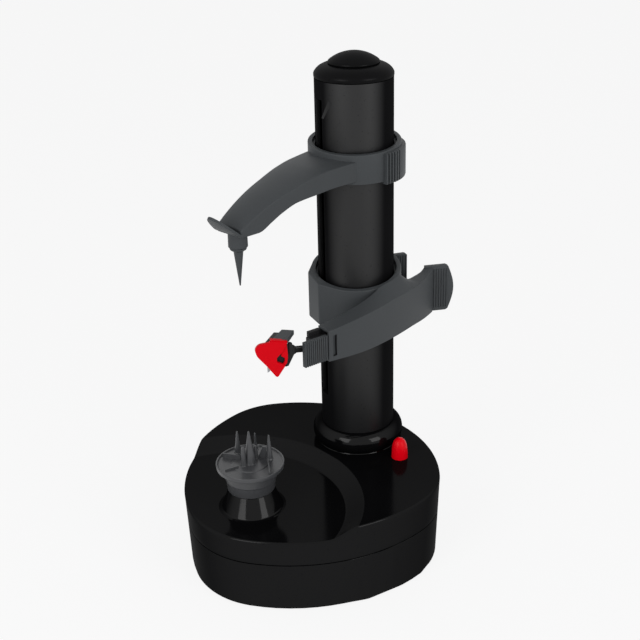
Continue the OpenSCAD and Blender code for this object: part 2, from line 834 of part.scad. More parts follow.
// Gear with a tooth's middle turned to an angle
module gear(teeth, width, bore, turn) {
    r = teeth * tooth_size / 2;
    pitch_angle = 360 / teeth;
    root = r - tooth_root_share * tooth_size;
    tip = r + tooth_tip_share * tooth_size;
    foot_a = pitch_angle * tooth_foot_angle_share;
    crest_a = pitch_angle * tooth_crest_angle_share;
    rotate([0, 0, turn]) difference() {
        linear_extrude(height = width) polygon([for (i = [0 : teeth - 1]) let (a = i * pitch_angle)
            each [[root * cos(a - foot_a), root * sin(a - foot_a)],
                [tip * cos(a - crest_a), tip * sin(a - crest_a)],
                [tip * cos(a + crest_a), tip * sin(a + crest_a)],
                [root * cos(a + foot_a), root * sin(a + foot_a)]]]);
        translate([0, 0, -over]) cylinder(r = bore, h = width + 2 * over);
    }
}

// Turn of a gear that meshes with another one, which stands at angle toward it and is turned by its own turn
function mesh_turn(teeth, mate_teeth, mate_turn, toward) =
    toward + 180 - (0.5 - (toward - mate_turn) * mate_teeth / 360) * 360 / teeth;

cluster_small_turn = 0;
cluster_big_turn = 0;
idler_direction = atan2(idler_y, idler_run);
screw_direction = atan2(-idler_y, column_x - idler_x);
holder_turn = mesh_turn(holder_teeth, cluster_small_teeth, cluster_small_turn, 180);
idler_turn = mesh_turn(idler_teeth, cluster_small_teeth, cluster_small_turn, idler_direction);
screw_turn = mesh_turn(screw_teeth, idler_teeth, idler_turn, screw_direction);
pinion_turn = mesh_turn(pinion_teeth, cluster_big_teeth, cluster_big_turn, -90);

module pinion() {
    color("#c9a24a") translate([cluster_x, motor_y, coarse_z])
        gear(pinion_teeth, coarse_w, motor_shaft_r + press_gap, pinion_turn);
}

module cluster_gear() {
    color("#e6e2d6") translate([cluster_x, 0, 0]) difference() {
        union() {
            translate([0, 0, coarse_z]) gear(cluster_big_teeth, coarse_w, pin_r + run_gap, cluster_big_turn);
            translate([0, 0, coarse_z + coarse_w - gap])
                gear(cluster_small_teeth, gear_w + 2 * gap, pin_r + run_gap, cluster_small_turn);
        }
        translate([0, 0, coarse_z - over]) cylinder(r = pin_r + run_gap, h = coarse_w + gear_w + 3 * over);
    }
}

module gear_pin(x, y, top) {
    color("silver") translate([x, y, pin_z]) cylinder(r = pin_r, h = top - pin_z);
}

module cluster_pin() {
    gear_pin(cluster_x, 0, fine_z + gear_w + gap);
}

module idler_pin() {
    flange_r = pin_r + 0.8;
    gear_pin(idler_x, idler_y, fine_z + gear_w + gap);
    color("silver") translate([idler_x, idler_y, chassis_top_z])
        cylinder(r = flange_r, h = fine_z - gap - chassis_top_z);
}

module holder_gear() {
    hub = 6;
    color("#e6e2d6") at_food() {
        translate([0, 0, fine_z]) gear(holder_teeth, gear_w, journal_r + press_gap, holder_turn);
        translate([0, 0, chassis_top_z + gap]) tube(hub, journal_r + press_gap, fine_z - chassis_top_z);
    }
}

module idler_gear() {
    color("#e6e2d6") translate([idler_x, idler_y, fine_z])
        gear(idler_teeth, gear_w, pin_r + run_gap, idler_turn);
}

module screw_gear() {
    hub = 6;
    color("#e6e2d6") at_column() {
        translate([0, 0, fine_z]) gear(screw_teeth, gear_w, journal_r + press_gap, screw_turn);
        translate([0, 0, chassis_top_z + gap]) tube(hub, journal_r + press_gap, fine_z - chassis_top_z);
    }
}

// Food holder

module holder_bush() {
    color("#b08d4a") at_food() translate([0, 0, fine_z + gear_w + gap])
        tube(bush_r, journal_r + run_gap, pedestal_z - fine_z - gear_w - gap);
}

module holder_spindle() {
    color("silver") at_food() translate([0, 0, chassis_z])
        cylinder(r = journal_r, h = pedestal_z + hub_h - shell_wall - chassis_z);
}

module spike(angle, reach, r, h) {
    tip = 0.3;
    rotate([0, 0, angle]) translate([reach, 0, -gap]) cylinder(r1 = r, r2 = tip, h = h + gap);
}

module food_holder() {
    hub_z = pedestal_z + gap;
    disc_z = hub_z + hub_h;
    disc_top = disc_z + disc_t;
    color("#3c3f40") at_food() difference() {
        union() {
            translate([0, 0, hub_z]) cylinder(r = hub_r, h = hub_h + disc_t / 2);
            translate([0, 0, disc_z]) cylinder(r = disc_r, h = disc_t);
            translate([0, 0, disc_z]) tube(disc_r, disc_r - rim_t, disc_t + rim_h);
            translate([0, 0, disc_top]) {
                spike(0, 0, mid_spike_r, mid_spike_h);
                for (p = outer_spike_places) spike(p[0], p[1], outer_spike_r, outer_spike_h);
                for (p = prong_places) rotate([0, 0, p[0]]) translate([p[1], 0, -gap])
                    cylinder(r1 = prong_r, r2 = prong_r / 2, h = prong_h + gap);
                for (p = fin_places) rotate([0, 0, p[0]]) translate([p[1] - fin_t / 2, -fin_l / 2, -gap])
                    cube([fin_t, fin_l, fin_h + gap]);
            }
        }
        translate([0, 0, hub_z - over]) cylinder(r = journal_r + press_gap, h = hub_h - shell_wall + over);
    }
}

// Column and lead screw

module column() {
    color("#141416") at_column() difference() {
        translate([0, 0, high_deck_z - shell_wall])
            tube(column_r, column_r - column_wall, column_top_z - high_deck_z + shell_wall);
        rotate([0, 0, slot_angle]) translate([column_r - 2 * column_wall, -slot_w / 2, slot_low_z])
            cube([3 * column_wall, slot_w, slot_high_z - slot_low_z]);
    }
}

module lead_screw() {
    turns = (screw_high_z - screw_low_z - 2 * screw_shoulder_h) / screw_pitch;
    thread_l = turns * screw_pitch;
    color("#9a9da0") at_column() {
        translate([0, 0, chassis_z]) cylinder(r = journal_r, h = screw_low_z + screw_shoulder_h - chassis_z);
        translate([0, 0, screw_low_z])
            cylinder(r = screw_r - thread_depth, h = screw_shoulder_h + thread_l + screw_shoulder_h);
        translate([0, 0, screw_low_z + screw_shoulder_h])
            linear_extrude(height = thread_l, twist = -360 * turns, slices = round(thread_steps * turns),
                $fn = thread_sides) translate([thread_depth / 2, 0])
                    circle(r = screw_r - thread_depth / 2, $fn = thread_sides);
        translate([0, 0, screw_high_z - over]) cylinder(r = journal_r, h = over + bush_h + gap);
    }
}

module screw_bush_low() {
    color("#b08d4a") at_column() translate([0, 0, bush_low_z]) tube(bush_r, journal_r + run_gap, bush_h);
}

module screw_bush_high() {
    color("#b08d4a") at_column() translate([0, 0, bush_high_z]) tube(bush_r, journal_r + run_gap, bush_h);
}

function bend(a, b, c, steps) = [for (i = [1 : steps]) let (t = i / steps)
    a * pow(1 - t, 2) + b * 2 * t * (1 - t) + c * t * t];

module column_cap() {
    seat_r = column_r - column_wall - press_gap;
    rim = [cap_rim_r, cap_z];
    crown = [dome_r, cap_z + cap_shoulder_h];
    color("#141416") at_column() difference() {
        union() {
            translate([0, 0, column_top_z - cap_seat_h]) cylinder(r = seat_r, h = cap_seat_h + cap_rim_h);
            rotate_extrude() polygon(concat([[0, column_top_z], [cap_rim_r, column_top_z], rim],
                bend(rim, [cap_bend[0], cap_z + cap_bend[1]], crown, 6), [[0, crown[1]]]));
        }
        translate([0, 0, column_top_z - cap_seat_h + cap_web_t])
            cylinder(r = seat_r - cap_wall, h = cap_seat_h - cap_web_t + cap_rim_h);
        translate([0, 0, column_top_z - cap_seat_h - over])
            cylinder(r = bush_r + press_gap, h = cap_web_t + 2 * over);
        translate([0, 0, cap_z]) cylinder(r = dome_peg_r + press_gap, h = 2 * cap_shoulder_h);
    }
}

module cap_plug() {
    bulge_h = dome_h - dome_rim_h;
    ball_r = (dome_r * dome_r + bulge_h * bulge_h) / (2 * bulge_h);
    z = cap_z + cap_shoulder_h;
    color("#141416") at_column() {
        intersection() {
            translate([0, 0, z]) cylinder(r = dome_r, h = dome_h);
            translate([0, 0, z + dome_h - ball_r]) sphere(r = ball_r);
        }
        translate([0, 0, z - dome_peg_h]) cylinder(r = dome_peg_r, h = dome_peg_h + dome_rim_h);
    }
}

// Carriage

module housing_block(z, h) {
    translate([0, 0, z]) linear_extrude(height = h) polygon([[0, 0],
        [housing_side[0], -housing_side[1]], [housing_face, -housing_half_w],
        [housing_face, housing_half_w], [housing_side[0], housing_side[1]]]);
}

module hinge_bar(r, w, grow) {
    cylinder(r = r + grow, h = lug_h);
    translate([0, -w / 2 - grow, 0]) cube([hinge_reach - column_r, w + 2 * grow, lug_h]);
}

module at_hinge() {
    translate([hinge_x, hinge_y, 0]) children();
}

module carriage() {
    color("#3c3f40") difference() {
        union() {
            at_column() difference() {
                union() {
                    translate([0, 0, carriage_z]) cylinder(r = ring_r, h = carriage_h + column_r);
                    rotate([0, 0, slot_angle]) housing_block(carriage_z - housing_drop, carriage_h + column_r);
                }
                above_slope(carriage_z + carriage_h, carriage_tilt, view_angle);
            }
            at_hinge() translate([0, 0, lug_z]) rotate([0, 0, hinge_angle]) hinge_bar(lug_r, lug_w, 0);
            at_column() rotate([0, 0, fixed_tab_from]) translate([ring_r - over, 0, fixed_tab_z])
                rotate([0, 0, fixed_tab_angle - fixed_tab_from]) translate([0, -tab_t / 2, 0])
                    cube([fixed_tab_l + over, tab_t, fixed_tab_h]);
        }
        at_column() {
            translate([0, 0, carriage_z - 2 * over]) cylinder(r = ring_bore_r, h = carriage_h + 2 * column_r);
            slope_bore(carriage_z + carriage_h - ring_relief_h, carriage_tilt, view_angle, ring_relief_r);
        }
        at_slot() translate([ring_bore_r - over, -nut_w / 2 - gap, nut_z - gap])
            cube([nut_pocket_r - ring_bore_r + over, nut_w + 2 * gap, nut_h + 2 * gap]);
        at_hinge() translate([0, 0, lug_z - over]) cylinder(r = hinge_pin_r + press_gap, h = lug_h + 2 * over);
    }
}

module half_nut() {
    color("#c9a24a") at_slot() difference() {
        translate([0, -nut_w / 2, nut_z]) cube([nut_back_r, nut_w, nut_h]);
        translate([0, 0, nut_z - over]) cylinder(r = nut_tip_r, h = nut_h + 2 * over);
        translate([nut_back_r - nut_spring_hole, 0, nut_z + nut_h / 2]) rotate([0, 90, 0])
            cylinder(r = nut_spring_r + gap, h = nut_spring_hole + over);
    }
}

module nut_spring() {
    color("silver") at_slot() translate([nut_pocket_r - nut_spring_l, 0, nut_z + nut_h / 2])
        rotate([0, 90, 0]) tube(nut_spring_r, nut_spring_r / 2, nut_spring_l);
}

// Peeling arm

function arm_at(x, depth, z) =
    let (turn = asin((x - arm_centre_x) / arm_curve_r), r = arm_curve_r - depth)
    [arm_centre_x + r * sin(turn), arm_centre_y - r * cos(turn), z];

function arm_section(share) =
    let (x = arm_x + share * arm_run,
        w = arm_t * lookup(share, arm_width_shares),
        under = arm_z + arm_depth * lookup(share, arm_under_shares),
        ridge = arm_z + arm_depth * lookup(share, arm_ridge_shares),
        crest = arm_z + arm_depth * lookup(share, arm_crest_shares))
    [arm_at(x, 0, under), arm_at(x, w, under), arm_at(x, w, crest), arm_at(x, 0, ridge)];

// Frame at the arm's open end: x runs outwards along the arm, z is up
module at_arm_end() {
    end = arm_at(arm_x, arm_t / 2, 0);
    translate(end) rotate([0, 0, 180 + arm_turn]) children();
}

// Frame on the head's swivel axis
module at_head() {
    at_arm_end() translate([head_out, -shaft_in, arm_z + shaft_rise]) children();
}

module block(x0, x1, y0, y1, z0, z1) {
    translate([x0, y0, z0]) cube([x1 - x0, y1 - y0, z1 - z0]);
}

module peeling_arm() {
    tail = arm_at(arm_x + arm_run, arm_t * tail_depth_share, 0);
    room = arm_t / 2 - arm_skin;
    pocket_h = lug_h + hinge_coil_h + 3 * gap;
    color("#3c3f40") difference() {
        union() {
            loft([for (share = arm_station_shares) arm_section(share)]);
            translate([tail[0], tail[1], arm_z]) rotate([0, 0, tail_angle])
                translate([-tab_t, -tab_t / 2, tail_tab_rise - tail_tab_h / 2])
                    cube([tail_tab_l, tab_t, tail_tab_h]);
        }
        // Room for the carriage ring over the whole swing
        for (step = swing_steps) at_hinge() rotate([0, 0, -step * arm_swing])
            translate([column_x - hinge_x, -hinge_y, 0]) cylinder(r = ring_r + 2 * gap, h = 2 * arm_z);
        at_hinge() translate([0, 0, lug_z - gap]) hinge_room(pocket_h);
        at_hinge() translate([0, 0, arm_z - 2 * arm_depth])
            cylinder(r = hinge_pin_r + run_gap, h = lug_z + pocket_h - arm_z + 2 * arm_depth + hinge_pin_seat);
        at_arm_end() {
            block(-socket_l, over, -room, room, arm_z - socket_h / 2, arm_z + socket_h / 2);
            block(-window_from - window_l, -window_from, 0, arm_t, arm_z - socket_h / 2, arm_z + socket_h / 2);
        }
    }
}

// Point at a place along a direction and to its left
function along(angle, run, side) = [run * cos(angle) - side * sin(angle), run * sin(angle) + side * cos(angle)];

// Room round the hinge lug and the coil over it, over the whole swing
module hinge_room(h) {
    side = lug_w / 2 + gap;
    to = hinge_angle - arm_swing;
    cylinder(r = lug_r + gap, h = h);
    linear_extrude(height = h) polygon([along(hinge_angle, 0, side), along(to, 0, -side),
        along(to, hinge_reach, -side), along(hinge_angle, hinge_reach, side)]);
}

module hinge_pin() {
    foot_rise = 1;
    low = arm_z + arm_depth * lookup(0.7, arm_under_shares) + foot_rise;
    color("silver") at_hinge() translate([0, 0, low])
        cylinder(r = hinge_pin_r, h = lug_z + lug_h + hinge_coil_h + hinge_pin_seat - low);
}

module hinge_spring() {
    color("silver") at_hinge() translate([0, 0, lug_z + lug_h])
        tube(hinge_coil_r, hinge_pin_r + gap, hinge_coil_h);
}

// Cartridge and blade head

module cartridge() {
    room = arm_t / 2 - arm_skin - gap;
    half_h = socket_h / 2 - gap;
    color("#3c3f40") at_arm_end() difference() {
        union() {
            block(-tang_l, web_to, -room, room, arm_z - half_h, arm_z + half_h);
            block(web_from, web_to, -arm_t / 2, arm_t / 2, arm_z - web_h / 2, arm_z + web_h / 2);
            block(gap, grip_l, arm_t / 2 - plate_t, arm_t / 2, arm_z - grip_h / 2, arm_z + grip_h / 2);
            block(gap, back_plate_l, -arm_t / 2, plate_t - arm_t / 2, arm_z - grip_h / 2,
                arm_z + grip_h / 2 + back_plate_rise);
        }
        translate([shaft_from - gap, -shaft_in, arm_z + shaft_rise]) rotate([0, 90, 0])
            cylinder(r = shaft_r + press_gap, h = web_to + over);
    }
}

module blade_shaft() {
    color("silver") at_arm_end() translate([0, -shaft_in, arm_z + shaft_rise]) rotate([0, 90, 0]) {
        translate([0, 0, shaft_from]) cylinder(r = shaft_r, h = shaft_to - shaft_from);
        translate([0, 0, shaft_to - shaft_end_t]) cylinder(r = shaft_end_r, h = shaft_end_t);
    }
}

module yoke() {
    corner = head_plate_shares[5] * head_size;
    other = head_plate_shares[4] * head_size;
    run = norm(other - corner);
    color("#3c3f40") at_head() difference() {
        union() {
            for (z = [head_h / 2, -head_h / 2 - head_plate_t]) translate([0, 0, z])
                linear_extrude(height = head_plate_t) polygon([for (p = head_plate_shares) p * head_size]);
            translate([corner[0], corner[1], -head_h / 2 - head_plate_t / 2])
                rotate([0, 0, atan2(other[1] - corner[1], other[0] - corner[0])])
                    translate([0, -yoke_wall_t, 0]) cube([run, yoke_wall_t, head_h + head_plate_t]);
        }
        translate([-2 * head_size, 0, 0]) rotate([0, 90, 0]) cylinder(r = shaft_r + run_gap, h = 2 * head_size);
    }
}

module blade() {
    edge_slot_w = 2;
    edge_slot_margin = 2.5;
    place = blade_place_shares * head_size;
    color("silver") at_head() translate([place[0], place[1], 0]) rotate([0, 0, blade_angle]) difference() {
        translate([-blade_w / 2, -blade_t / 2, -blade_l / 2]) cube([blade_w, blade_t, blade_l]);
        translate([-edge_slot_w / 2, -blade_t, -blade_l / 2 + edge_slot_margin])
            cube([edge_slot_w, 2 * blade_t, blade_l - 2 * edge_slot_margin]);
    }
}

module blade_guard() {
    place = guard_place_shares * head_size;
    color("#e0101a") at_head() translate([place[0], place[1], -guard_drop]) rotate([0, 0, guard_angle])
        rotate([90, 0, 0]) translate([0, 0, -guard_t / 2]) linear_extrude(height = guard_t)
            polygon([for (p = guard_corner_shares) [p[0] * guard_w, p[1] * guard_h]]);
}

// Top arm

function top_arm_section(share) =
    let (x = top_arm_tip_x + share * top_arm_l,
        w = top_arm_tip_w + share * (top_arm_root_w - top_arm_tip_w),
        low = top_arm_tip_z + top_arm_rise * lookup(share, top_arm_under_shares),
        high = top_arm_tip_z + tip_thick + top_arm_rise * lookup(share, top_arm_top_shares))
    [[x, -w, low], [x, w, low], [x, w, high], [x, w / 2, high + crown_h * crown_share], [x, 0, high + crown_h],
        [x, -w / 2, high + crown_h * crown_share], [x, -w, high]];

module top_arm() {
    color("#3c3f40") difference() {
        union() {
            loft([for (share = top_arm_station_shares) top_arm_section(share)]);
            // Upturned thumb lip
            translate([top_arm_tip_x, top_arm_tip_w, top_arm_tip_z]) rotate([90, 0, 0])
                linear_extrude(height = 2 * top_arm_tip_w) polygon([[lip_t, 0], [0, 0], [-lip_l, lip_rise],
                    [lip_t - lip_l, lip_rise + lip_t], [thumb_valley, tip_thick], [lip_t, tip_thick]]);
            at_column() difference() {
                union() {
                    translate([0, 0, collar_z]) cylinder(r = ring_r, h = collar_h + column_r);
                    for (side = [-1, 1]) rotate([0, 0, side * (grip_zone_from + grip_zone_to) / 2])
                        translate([0, 0, collar_z - grip_zone_drop])
                            ring_sector(grip_r, column_r + gap, grip_zone_h,
                                (grip_zone_from - grip_zone_to) / 2, (grip_zone_to - grip_zone_from) / 2);
                }
                above_slope(collar_z + collar_h, collar_tilt, view_angle);
            }
            at_food() translate([0, 0, top_arm_tip_z - sleeve_h]) cylinder(r = sleeve_r, h = sleeve_h + over);
        }
        at_column() {
            translate([0, 0, collar_z - 2 * over]) cylinder(r = ring_bore_r, h = collar_h + 2 * column_r);
            slope_bore(collar_z + collar_h - collar_relief_h, collar_tilt, view_angle, ring_relief_r);
            translate([0, 0, collar_z + collar_h / 2 - pad_h / 2 - gap]) rotate([0, 0, 180])
                ring_sector(pad_r + press_gap, column_r, pad_h + 2 * gap, -pad_half_angle - pad_play,
                    pad_half_angle + pad_play);
        }
        at_food() {
            translate([0, 0, top_arm_tip_z - sleeve_h - over])
                cylinder(r = axle_r + run_gap, h = sleeve_h + clip_room_h + over);
            translate([0, 0, top_arm_tip_z + clip_t]) cylinder(r = clip_room_r, h = clip_room_h);
        }
    }
}

module friction_pad() {
    color("#2a2a2c") at_column() translate([0, 0, collar_z + collar_h / 2 - pad_h / 2]) rotate([0, 0, 180])
        ring_sector(pad_r, column_r + gap, pad_h, -pad_half_angle, pad_half_angle);
}

module top_spike() {
    axle_top = top_arm_tip_z + clip_t + clip_room_h - gap;
    tip_r = 0.3;
    color("#3c3f40") at_food() difference() {
        union() {
            translate([0, 0, spike_z - spike_neck_h]) cylinder(r = spike_r, h = spike_neck_h);
            translate([0, 0, spike_z - spike_neck_h - spike_flare_h])
                cylinder(r1 = spike_cone_r, r2 = spike_r, h = spike_flare_h);
            translate([0, 0, top_arm_tip_z - spike_l]) cylinder(r1 = tip_r, r2 = spike_cone_r,
                h = spike_z - spike_neck_h - spike_flare_h - top_arm_tip_z + spike_l);
            translate([0, 0, spike_z - over]) cylinder(r = axle_r, h = axle_top - spike_z + over);
        }
        translate([0, 0, top_arm_tip_z + clip_t + gap]) tube(axle_r + over, axle_groove_r, clip_t + gap);
    }
}

module spike_clip() {
    mouth = 2 * axle_groove_r - gap;
    color("silver") at_food() translate([0, 0, top_arm_tip_z + clip_t + gap]) difference() {
        tube(clip_r, axle_groove_r + press_gap, clip_t);
        translate([0, -mouth / 2, -over]) cube([clip_r + over, mouth, clip_t + 2 * over]);
    }
}

// Power button, switch, board and inlet

module power_button() {
    shoulder_h = button_h - button_r;
    low = high_deck_z - shell_wall - gap - button_flange_t;
    color("#e0101a") translate([button_x, button_y, 0]) {
        translate([0, 0, low]) cylinder(r = button_r, h = high_deck_z + shoulder_h - low);
        translate([0, 0, high_deck_z + shoulder_h]) sphere(r = button_r);
        translate([0, 0, low]) cylinder(r = button_flange_r, h = button_flange_t);
        translate([0, 0, switch_tip_z() + button_travel + gap])
            cylinder(r = button_stem_r, h = low - switch_tip_z() - button_travel);
    }
}

function switch_tip_z() = chassis_z + switch_h + switch_tip_h;

module button_spring() {
    low = chassis_z + switch_h;
    high = high_deck_z - shell_wall - gap - button_flange_t - button_travel - gap;
    color("silver") translate([button_x, button_y, low])
        tube(button_coil_r, button_stem_r + gap, high - low);
}

module power_switch() {
    color("#2a2a2c") translate([button_x, button_y, 0]) {
        translate([-switch_w / 2, -switch_w / 2, chassis_z]) cube([switch_w, switch_w, switch_h]);
        translate([0, 0, chassis_z]) cylinder(r = switch_tip_r, h = switch_h + switch_tip_h);
    }
}

module circuit_board() {
    chip = 6;
    chip_h = 2.4;
    color("#2f6b3a") translate([board_x, board_y, floor_z + board_post_h]) {
        translate([-board_l / 2, -board_w / 2, 0]) cube([board_l, board_w, board_t]);
        for (side = [-1, 1]) translate([side * chip / 2 - chip / 2, side * chip - chip / 2, board_t / 2])
            cube([chip, chip, board_t / 2 + chip_h]);
    }
}

module power_inlet() {
    pin_l = inlet_depth - over;
    color("#2a2a2c") translate([inlet_face_x, 0, inlet_z]) rotate([0, 90, 0]) {
        difference() {
            translate([0, 0, -inlet_body_l]) cylinder(r = inlet_body_r, h = inlet_body_l);
            translate([0, 0, -inlet_depth]) cylinder(r = inlet_r, h = inlet_depth + over);
        }
        translate([0, 0, -inlet_depth - over]) cylinder(r = inlet_pin_r, h = pin_l + over);
    }
}

base_lower();
base_upper();
battery_door();
cell(0);  // cell_1
cell(1);  // cell_2
cell(2);  // cell_3
cell(3);  // cell_4
contact_front();
contact_back();
chassis();
motor();
motor_shaft();
pinion();
cluster_gear();
cluster_pin();
holder_gear();
idler_gear();
idler_pin();
screw_gear();
holder_spindle();
holder_bush();
food_holder();
lead_screw();
screw_bush_low();
screw_bush_high();
column();
column_cap();
cap_plug();
carriage();
half_nut();
nut_spring();
peeling_arm();
hinge_pin();
hinge_spring();
cartridge();
blade_shaft();
yoke();
blade();
blade_guard();
top_arm();
friction_pad();
top_spike();
spike_clip();
power_button();
button_spring();
power_switch();
circuit_board();
power_inlet();
foot(0);  // foot_1
foot(1);  // foot_2
foot(2);  // foot_3
foot(3);  // foot_4
case_screw(0);  // case_screw_1
case_screw(1);  // case_screw_2
case_screw(2);  // case_screw_3
case_screw(3);  // case_screw_4
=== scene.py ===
# %% [markdown]
# # Electric potato peeler
# A potato stands on the spiked holder, the top spike pins it from above, and a small blade on a curved arm
# climbs the column while the potato turns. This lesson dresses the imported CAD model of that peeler: glossy
# black housings, grey satin arms, a red button and a red blade guard. The CAD model is loaded first, because
# every piece below sits in its frame, in metres.

# %% Load the frame
from math import asin, atan2, cos, pi, radians, sin, sqrt, tan

import bmesh
import bpy
from mathutils import Matrix, Vector


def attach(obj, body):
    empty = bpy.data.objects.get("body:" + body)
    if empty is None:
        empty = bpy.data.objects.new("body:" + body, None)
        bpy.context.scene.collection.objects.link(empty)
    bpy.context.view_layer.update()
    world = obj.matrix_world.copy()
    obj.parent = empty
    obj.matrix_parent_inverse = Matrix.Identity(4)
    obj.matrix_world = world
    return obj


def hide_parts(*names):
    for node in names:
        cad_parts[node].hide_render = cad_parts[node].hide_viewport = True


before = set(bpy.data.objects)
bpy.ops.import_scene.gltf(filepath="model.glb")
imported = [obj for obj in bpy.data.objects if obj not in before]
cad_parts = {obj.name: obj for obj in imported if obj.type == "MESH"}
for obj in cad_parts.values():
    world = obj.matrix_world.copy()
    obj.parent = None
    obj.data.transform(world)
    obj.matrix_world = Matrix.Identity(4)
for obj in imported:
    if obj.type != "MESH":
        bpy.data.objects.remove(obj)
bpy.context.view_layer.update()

# %% [markdown]
# ## Writing shader maths as plain Python
# A plastic is never one flat colour: tiny changes of tone, gloss and height make it look moulded. They are
# sums and products of noise, so one small class wraps a socket, and its operators add the Math nodes. A
# second class starts a material and has the one method that makes any other node.

# %% Sockets that can be added and multiplied
class Tone:
    def __init__(self, finish, socket):
        self.finish, self.socket = finish, socket

    def maths(self, operation, first, second=0.0):
        return self.finish.node("ShaderNodeMath", {"operation": operation}, {0: first, 1: second})

    def __add__(self, other): return self.maths("ADD", self, other)
    def __radd__(self, other): return self.maths("ADD", other, self)
    def __sub__(self, other): return self.maths("SUBTRACT", self, other)
    def __rsub__(self, other): return self.maths("SUBTRACT", other, self)
    def __mul__(self, other): return self.maths("MULTIPLY", self, other)
    def __gt__(self, other): return self.maths("GREATER_THAN", self, other)


class Finish:
    """One material: a Principled shader, and the nodes that vary it. A world brings its own tree."""
    def __init__(self, name, tree=None, **fixed):
        if tree:
            self.tree = tree
            return
        self.material = bpy.data.materials.new(name)
        self.material.use_nodes = True
        self.tree = self.material.node_tree
        self.shader = self.tree.nodes["Principled BSDF"]
        for socket, value in fixed.items():
            self.shader.inputs[socket.replace("_", " ")].default_value = value
        self.place = self.node("ShaderNodeTexCoord", out="Object")

    def node(self, kind, settings=None, sockets=None, out=0):
        made = self.tree.nodes.new(kind)
        for key, value in (settings or {}).items():
            setattr(made, key, value)
        for key, value in (sockets or {}).items():
            if isinstance(value, Tone):
                self.tree.links.new(value.socket, made.inputs[key])
            else:
                made.inputs[key].default_value = value
        return Tone(self, made.outputs[out])

    def feed(self, socket, tone):
        self.tree.links.new(tone.socket, self.shader.inputs[socket])

    def noise(self, scale, detail=2.0, stretch=(1, 1, 1)):
        spot = self.node("ShaderNodeMapping", None, {"Vector": self.place, "Scale": stretch})
        return self.node("ShaderNodeTexNoise", None, {"Vector": spot, "Scale": scale, "Detail": detail})

    def blend(self, share, low, high):
        return self.node("ShaderNodeMix", {"data_type": "RGBA"},
                         {0: share, 6: (*low, 1), 7: (*high, 1)}, out=2)

    def bump(self, height, strength, distance):
        return self.node("ShaderNodeBump", None, {"Strength": strength, "Distance": distance, "Height": height})


def rgb(code):
    """Linear colour of a written one such as 3c3f40."""
    parts = [int(code[i:i + 2], 16) / 255 for i in (0, 2, 4)]
    return tuple(p / 12.92 if p <= 0.04045 else ((p + 0.055) / 1.055) ** 2.4 for p in parts)


finishes = {}
print("shader helpers ready; mid grey is", [round(c, 3) for c in rgb("808080")])

# %% [markdown]
# ## Glossy black housing
# The base, column and cap are ABS polished in the mould. The plastic is black all through, so almost all that
# shows is what its skin mirrors. The plastic is kept matt and the polish is its coat. `polish` says how much
# of it there is, `blur` how soft its mirror images are, and `fade` lets it grow weaker where a wall turns
# away: from the first share of turning to the second, down to the third. Fine dust dulls it.

# %% Black skins
def polished_black(name, polish, blur, fade=None, dark="080809", light="101011"):
    skin = Finish(name, Specular_IOR_Level=0.0, Roughness=0.6, Coat_Roughness=blur, Coat_IOR=1.46)
    cloud = skin.noise(28, 3)
    dust = skin.noise(900, 2) > 0.7
    skin.feed("Base Color", skin.blend(cloud * 0.8 + dust * 0.2, rgb(dark), rgb(light)))
    weight = polish - cloud * polish * 0.12 - dust * polish * 0.4
    if fade:
        facing = skin.node("ShaderNodeLayerWeight", None, {"Blend": 0.5}, out="Facing")
        start, end, left = fade
        keep = skin.node("ShaderNodeMapRange", {"interpolation_type": "SMOOTHSTEP"},
                         {"Value": facing, "From Min": start, "From Max": end, "To Min": 1.0, "To Max": left})
        weight = weight * keep
    skin.feed("Coat Weight", weight)
    skin.feed("Normal", skin.bump(skin.noise(16, 1) + skin.noise(1500, 1) * 0.02, 0.12, 0.0005))
    return skin.material


black_skins = {"black_shell": (0.3, 0.12, (0.15, 0.6, 0.2)), "black_deck": (0.065, 0.03),
               "black_column": (1.0, 0.4, (0.09, 0.4, 0.03), "101011", "161617"),
               "black_cap": (0.16, 0.3), "black_foot": (0.4, 0.1, (0.12, 0.5, 0.05))}
for name, measures in black_skins.items():
    finishes[name] = polished_black(name, *measures)
print("black shell:", len(finishes["black_shell"].node_tree.nodes), "nodes")

# %% [markdown]
# ## Grey satin moulding
# Arms, rings and holder come out of a spark-eroded mould, whose fine pits leave an even satin skin. The pits
# are far smaller than a pixel, so they show as a wide soft sheen, which roughness gives, and a very fine bump
# keeps close views honest. A slow noise varies the tone.

# %% Grey moulding
def satin(name, dark, light, rough, pit=0.00004, sheen=0.2):
    skin = Finish(name, Specular_IOR_Level=sheen, IOR=1.5)
    cloud = skin.noise(35, 3)
    fleck = skin.noise(700, 2)
    skin.feed("Base Color", skin.blend(cloud * 0.7 + fleck * 0.3, rgb(dark), rgb(light)))
    skin.feed("Roughness", rough - 0.05 + cloud * 0.1)
    pits = skin.node("ShaderNodeTexVoronoi", None, {"Vector": skin.place, "Scale": 2600.0})
    skin.feed("Normal", skin.bump(pits + skin.noise(1800, 2) * 0.6, 0.5, pit))
    return skin.material


mouldings = {
    "grey_moulding": ("3b3e40", "474a4c", 0.52), "red_moulding": ("d2000f", "e00016", 0.4, 0.00002, 0.08),
    # The button's red is the red moulding made brighter: painted light that lifts it out of the shade it sits in.
    "red_button_painted_light": ("f00012", "f8001a", 0.35, 0.00002, 0.15),
    "grey_holder": ("3c3d3f", "47484a", 0.3, 0.00003, 0.5),
    "dark_steel": ("2c2c2d", "3a3a3b", 0.25, 0.00001, 0.5), "black_rubber": ("1b1b1c", "262627", 0.78),
    "black_fitting": ("161617", "202021", 0.5), "white_gear": ("ddd9cd", "e8e4d8", 0.45),
    "chassis_plastic": ("5f6265", "6e7174", 0.6), "cell_wrap": ("9a7434", "b58a3c", 0.35, 0.00001),
    "board": ("24583a", "2f6b46", 0.4)}
for name, measures in mouldings.items():
    finishes[name] = satin(name, *measures)
print("moulded finishes:", sorted(finishes))

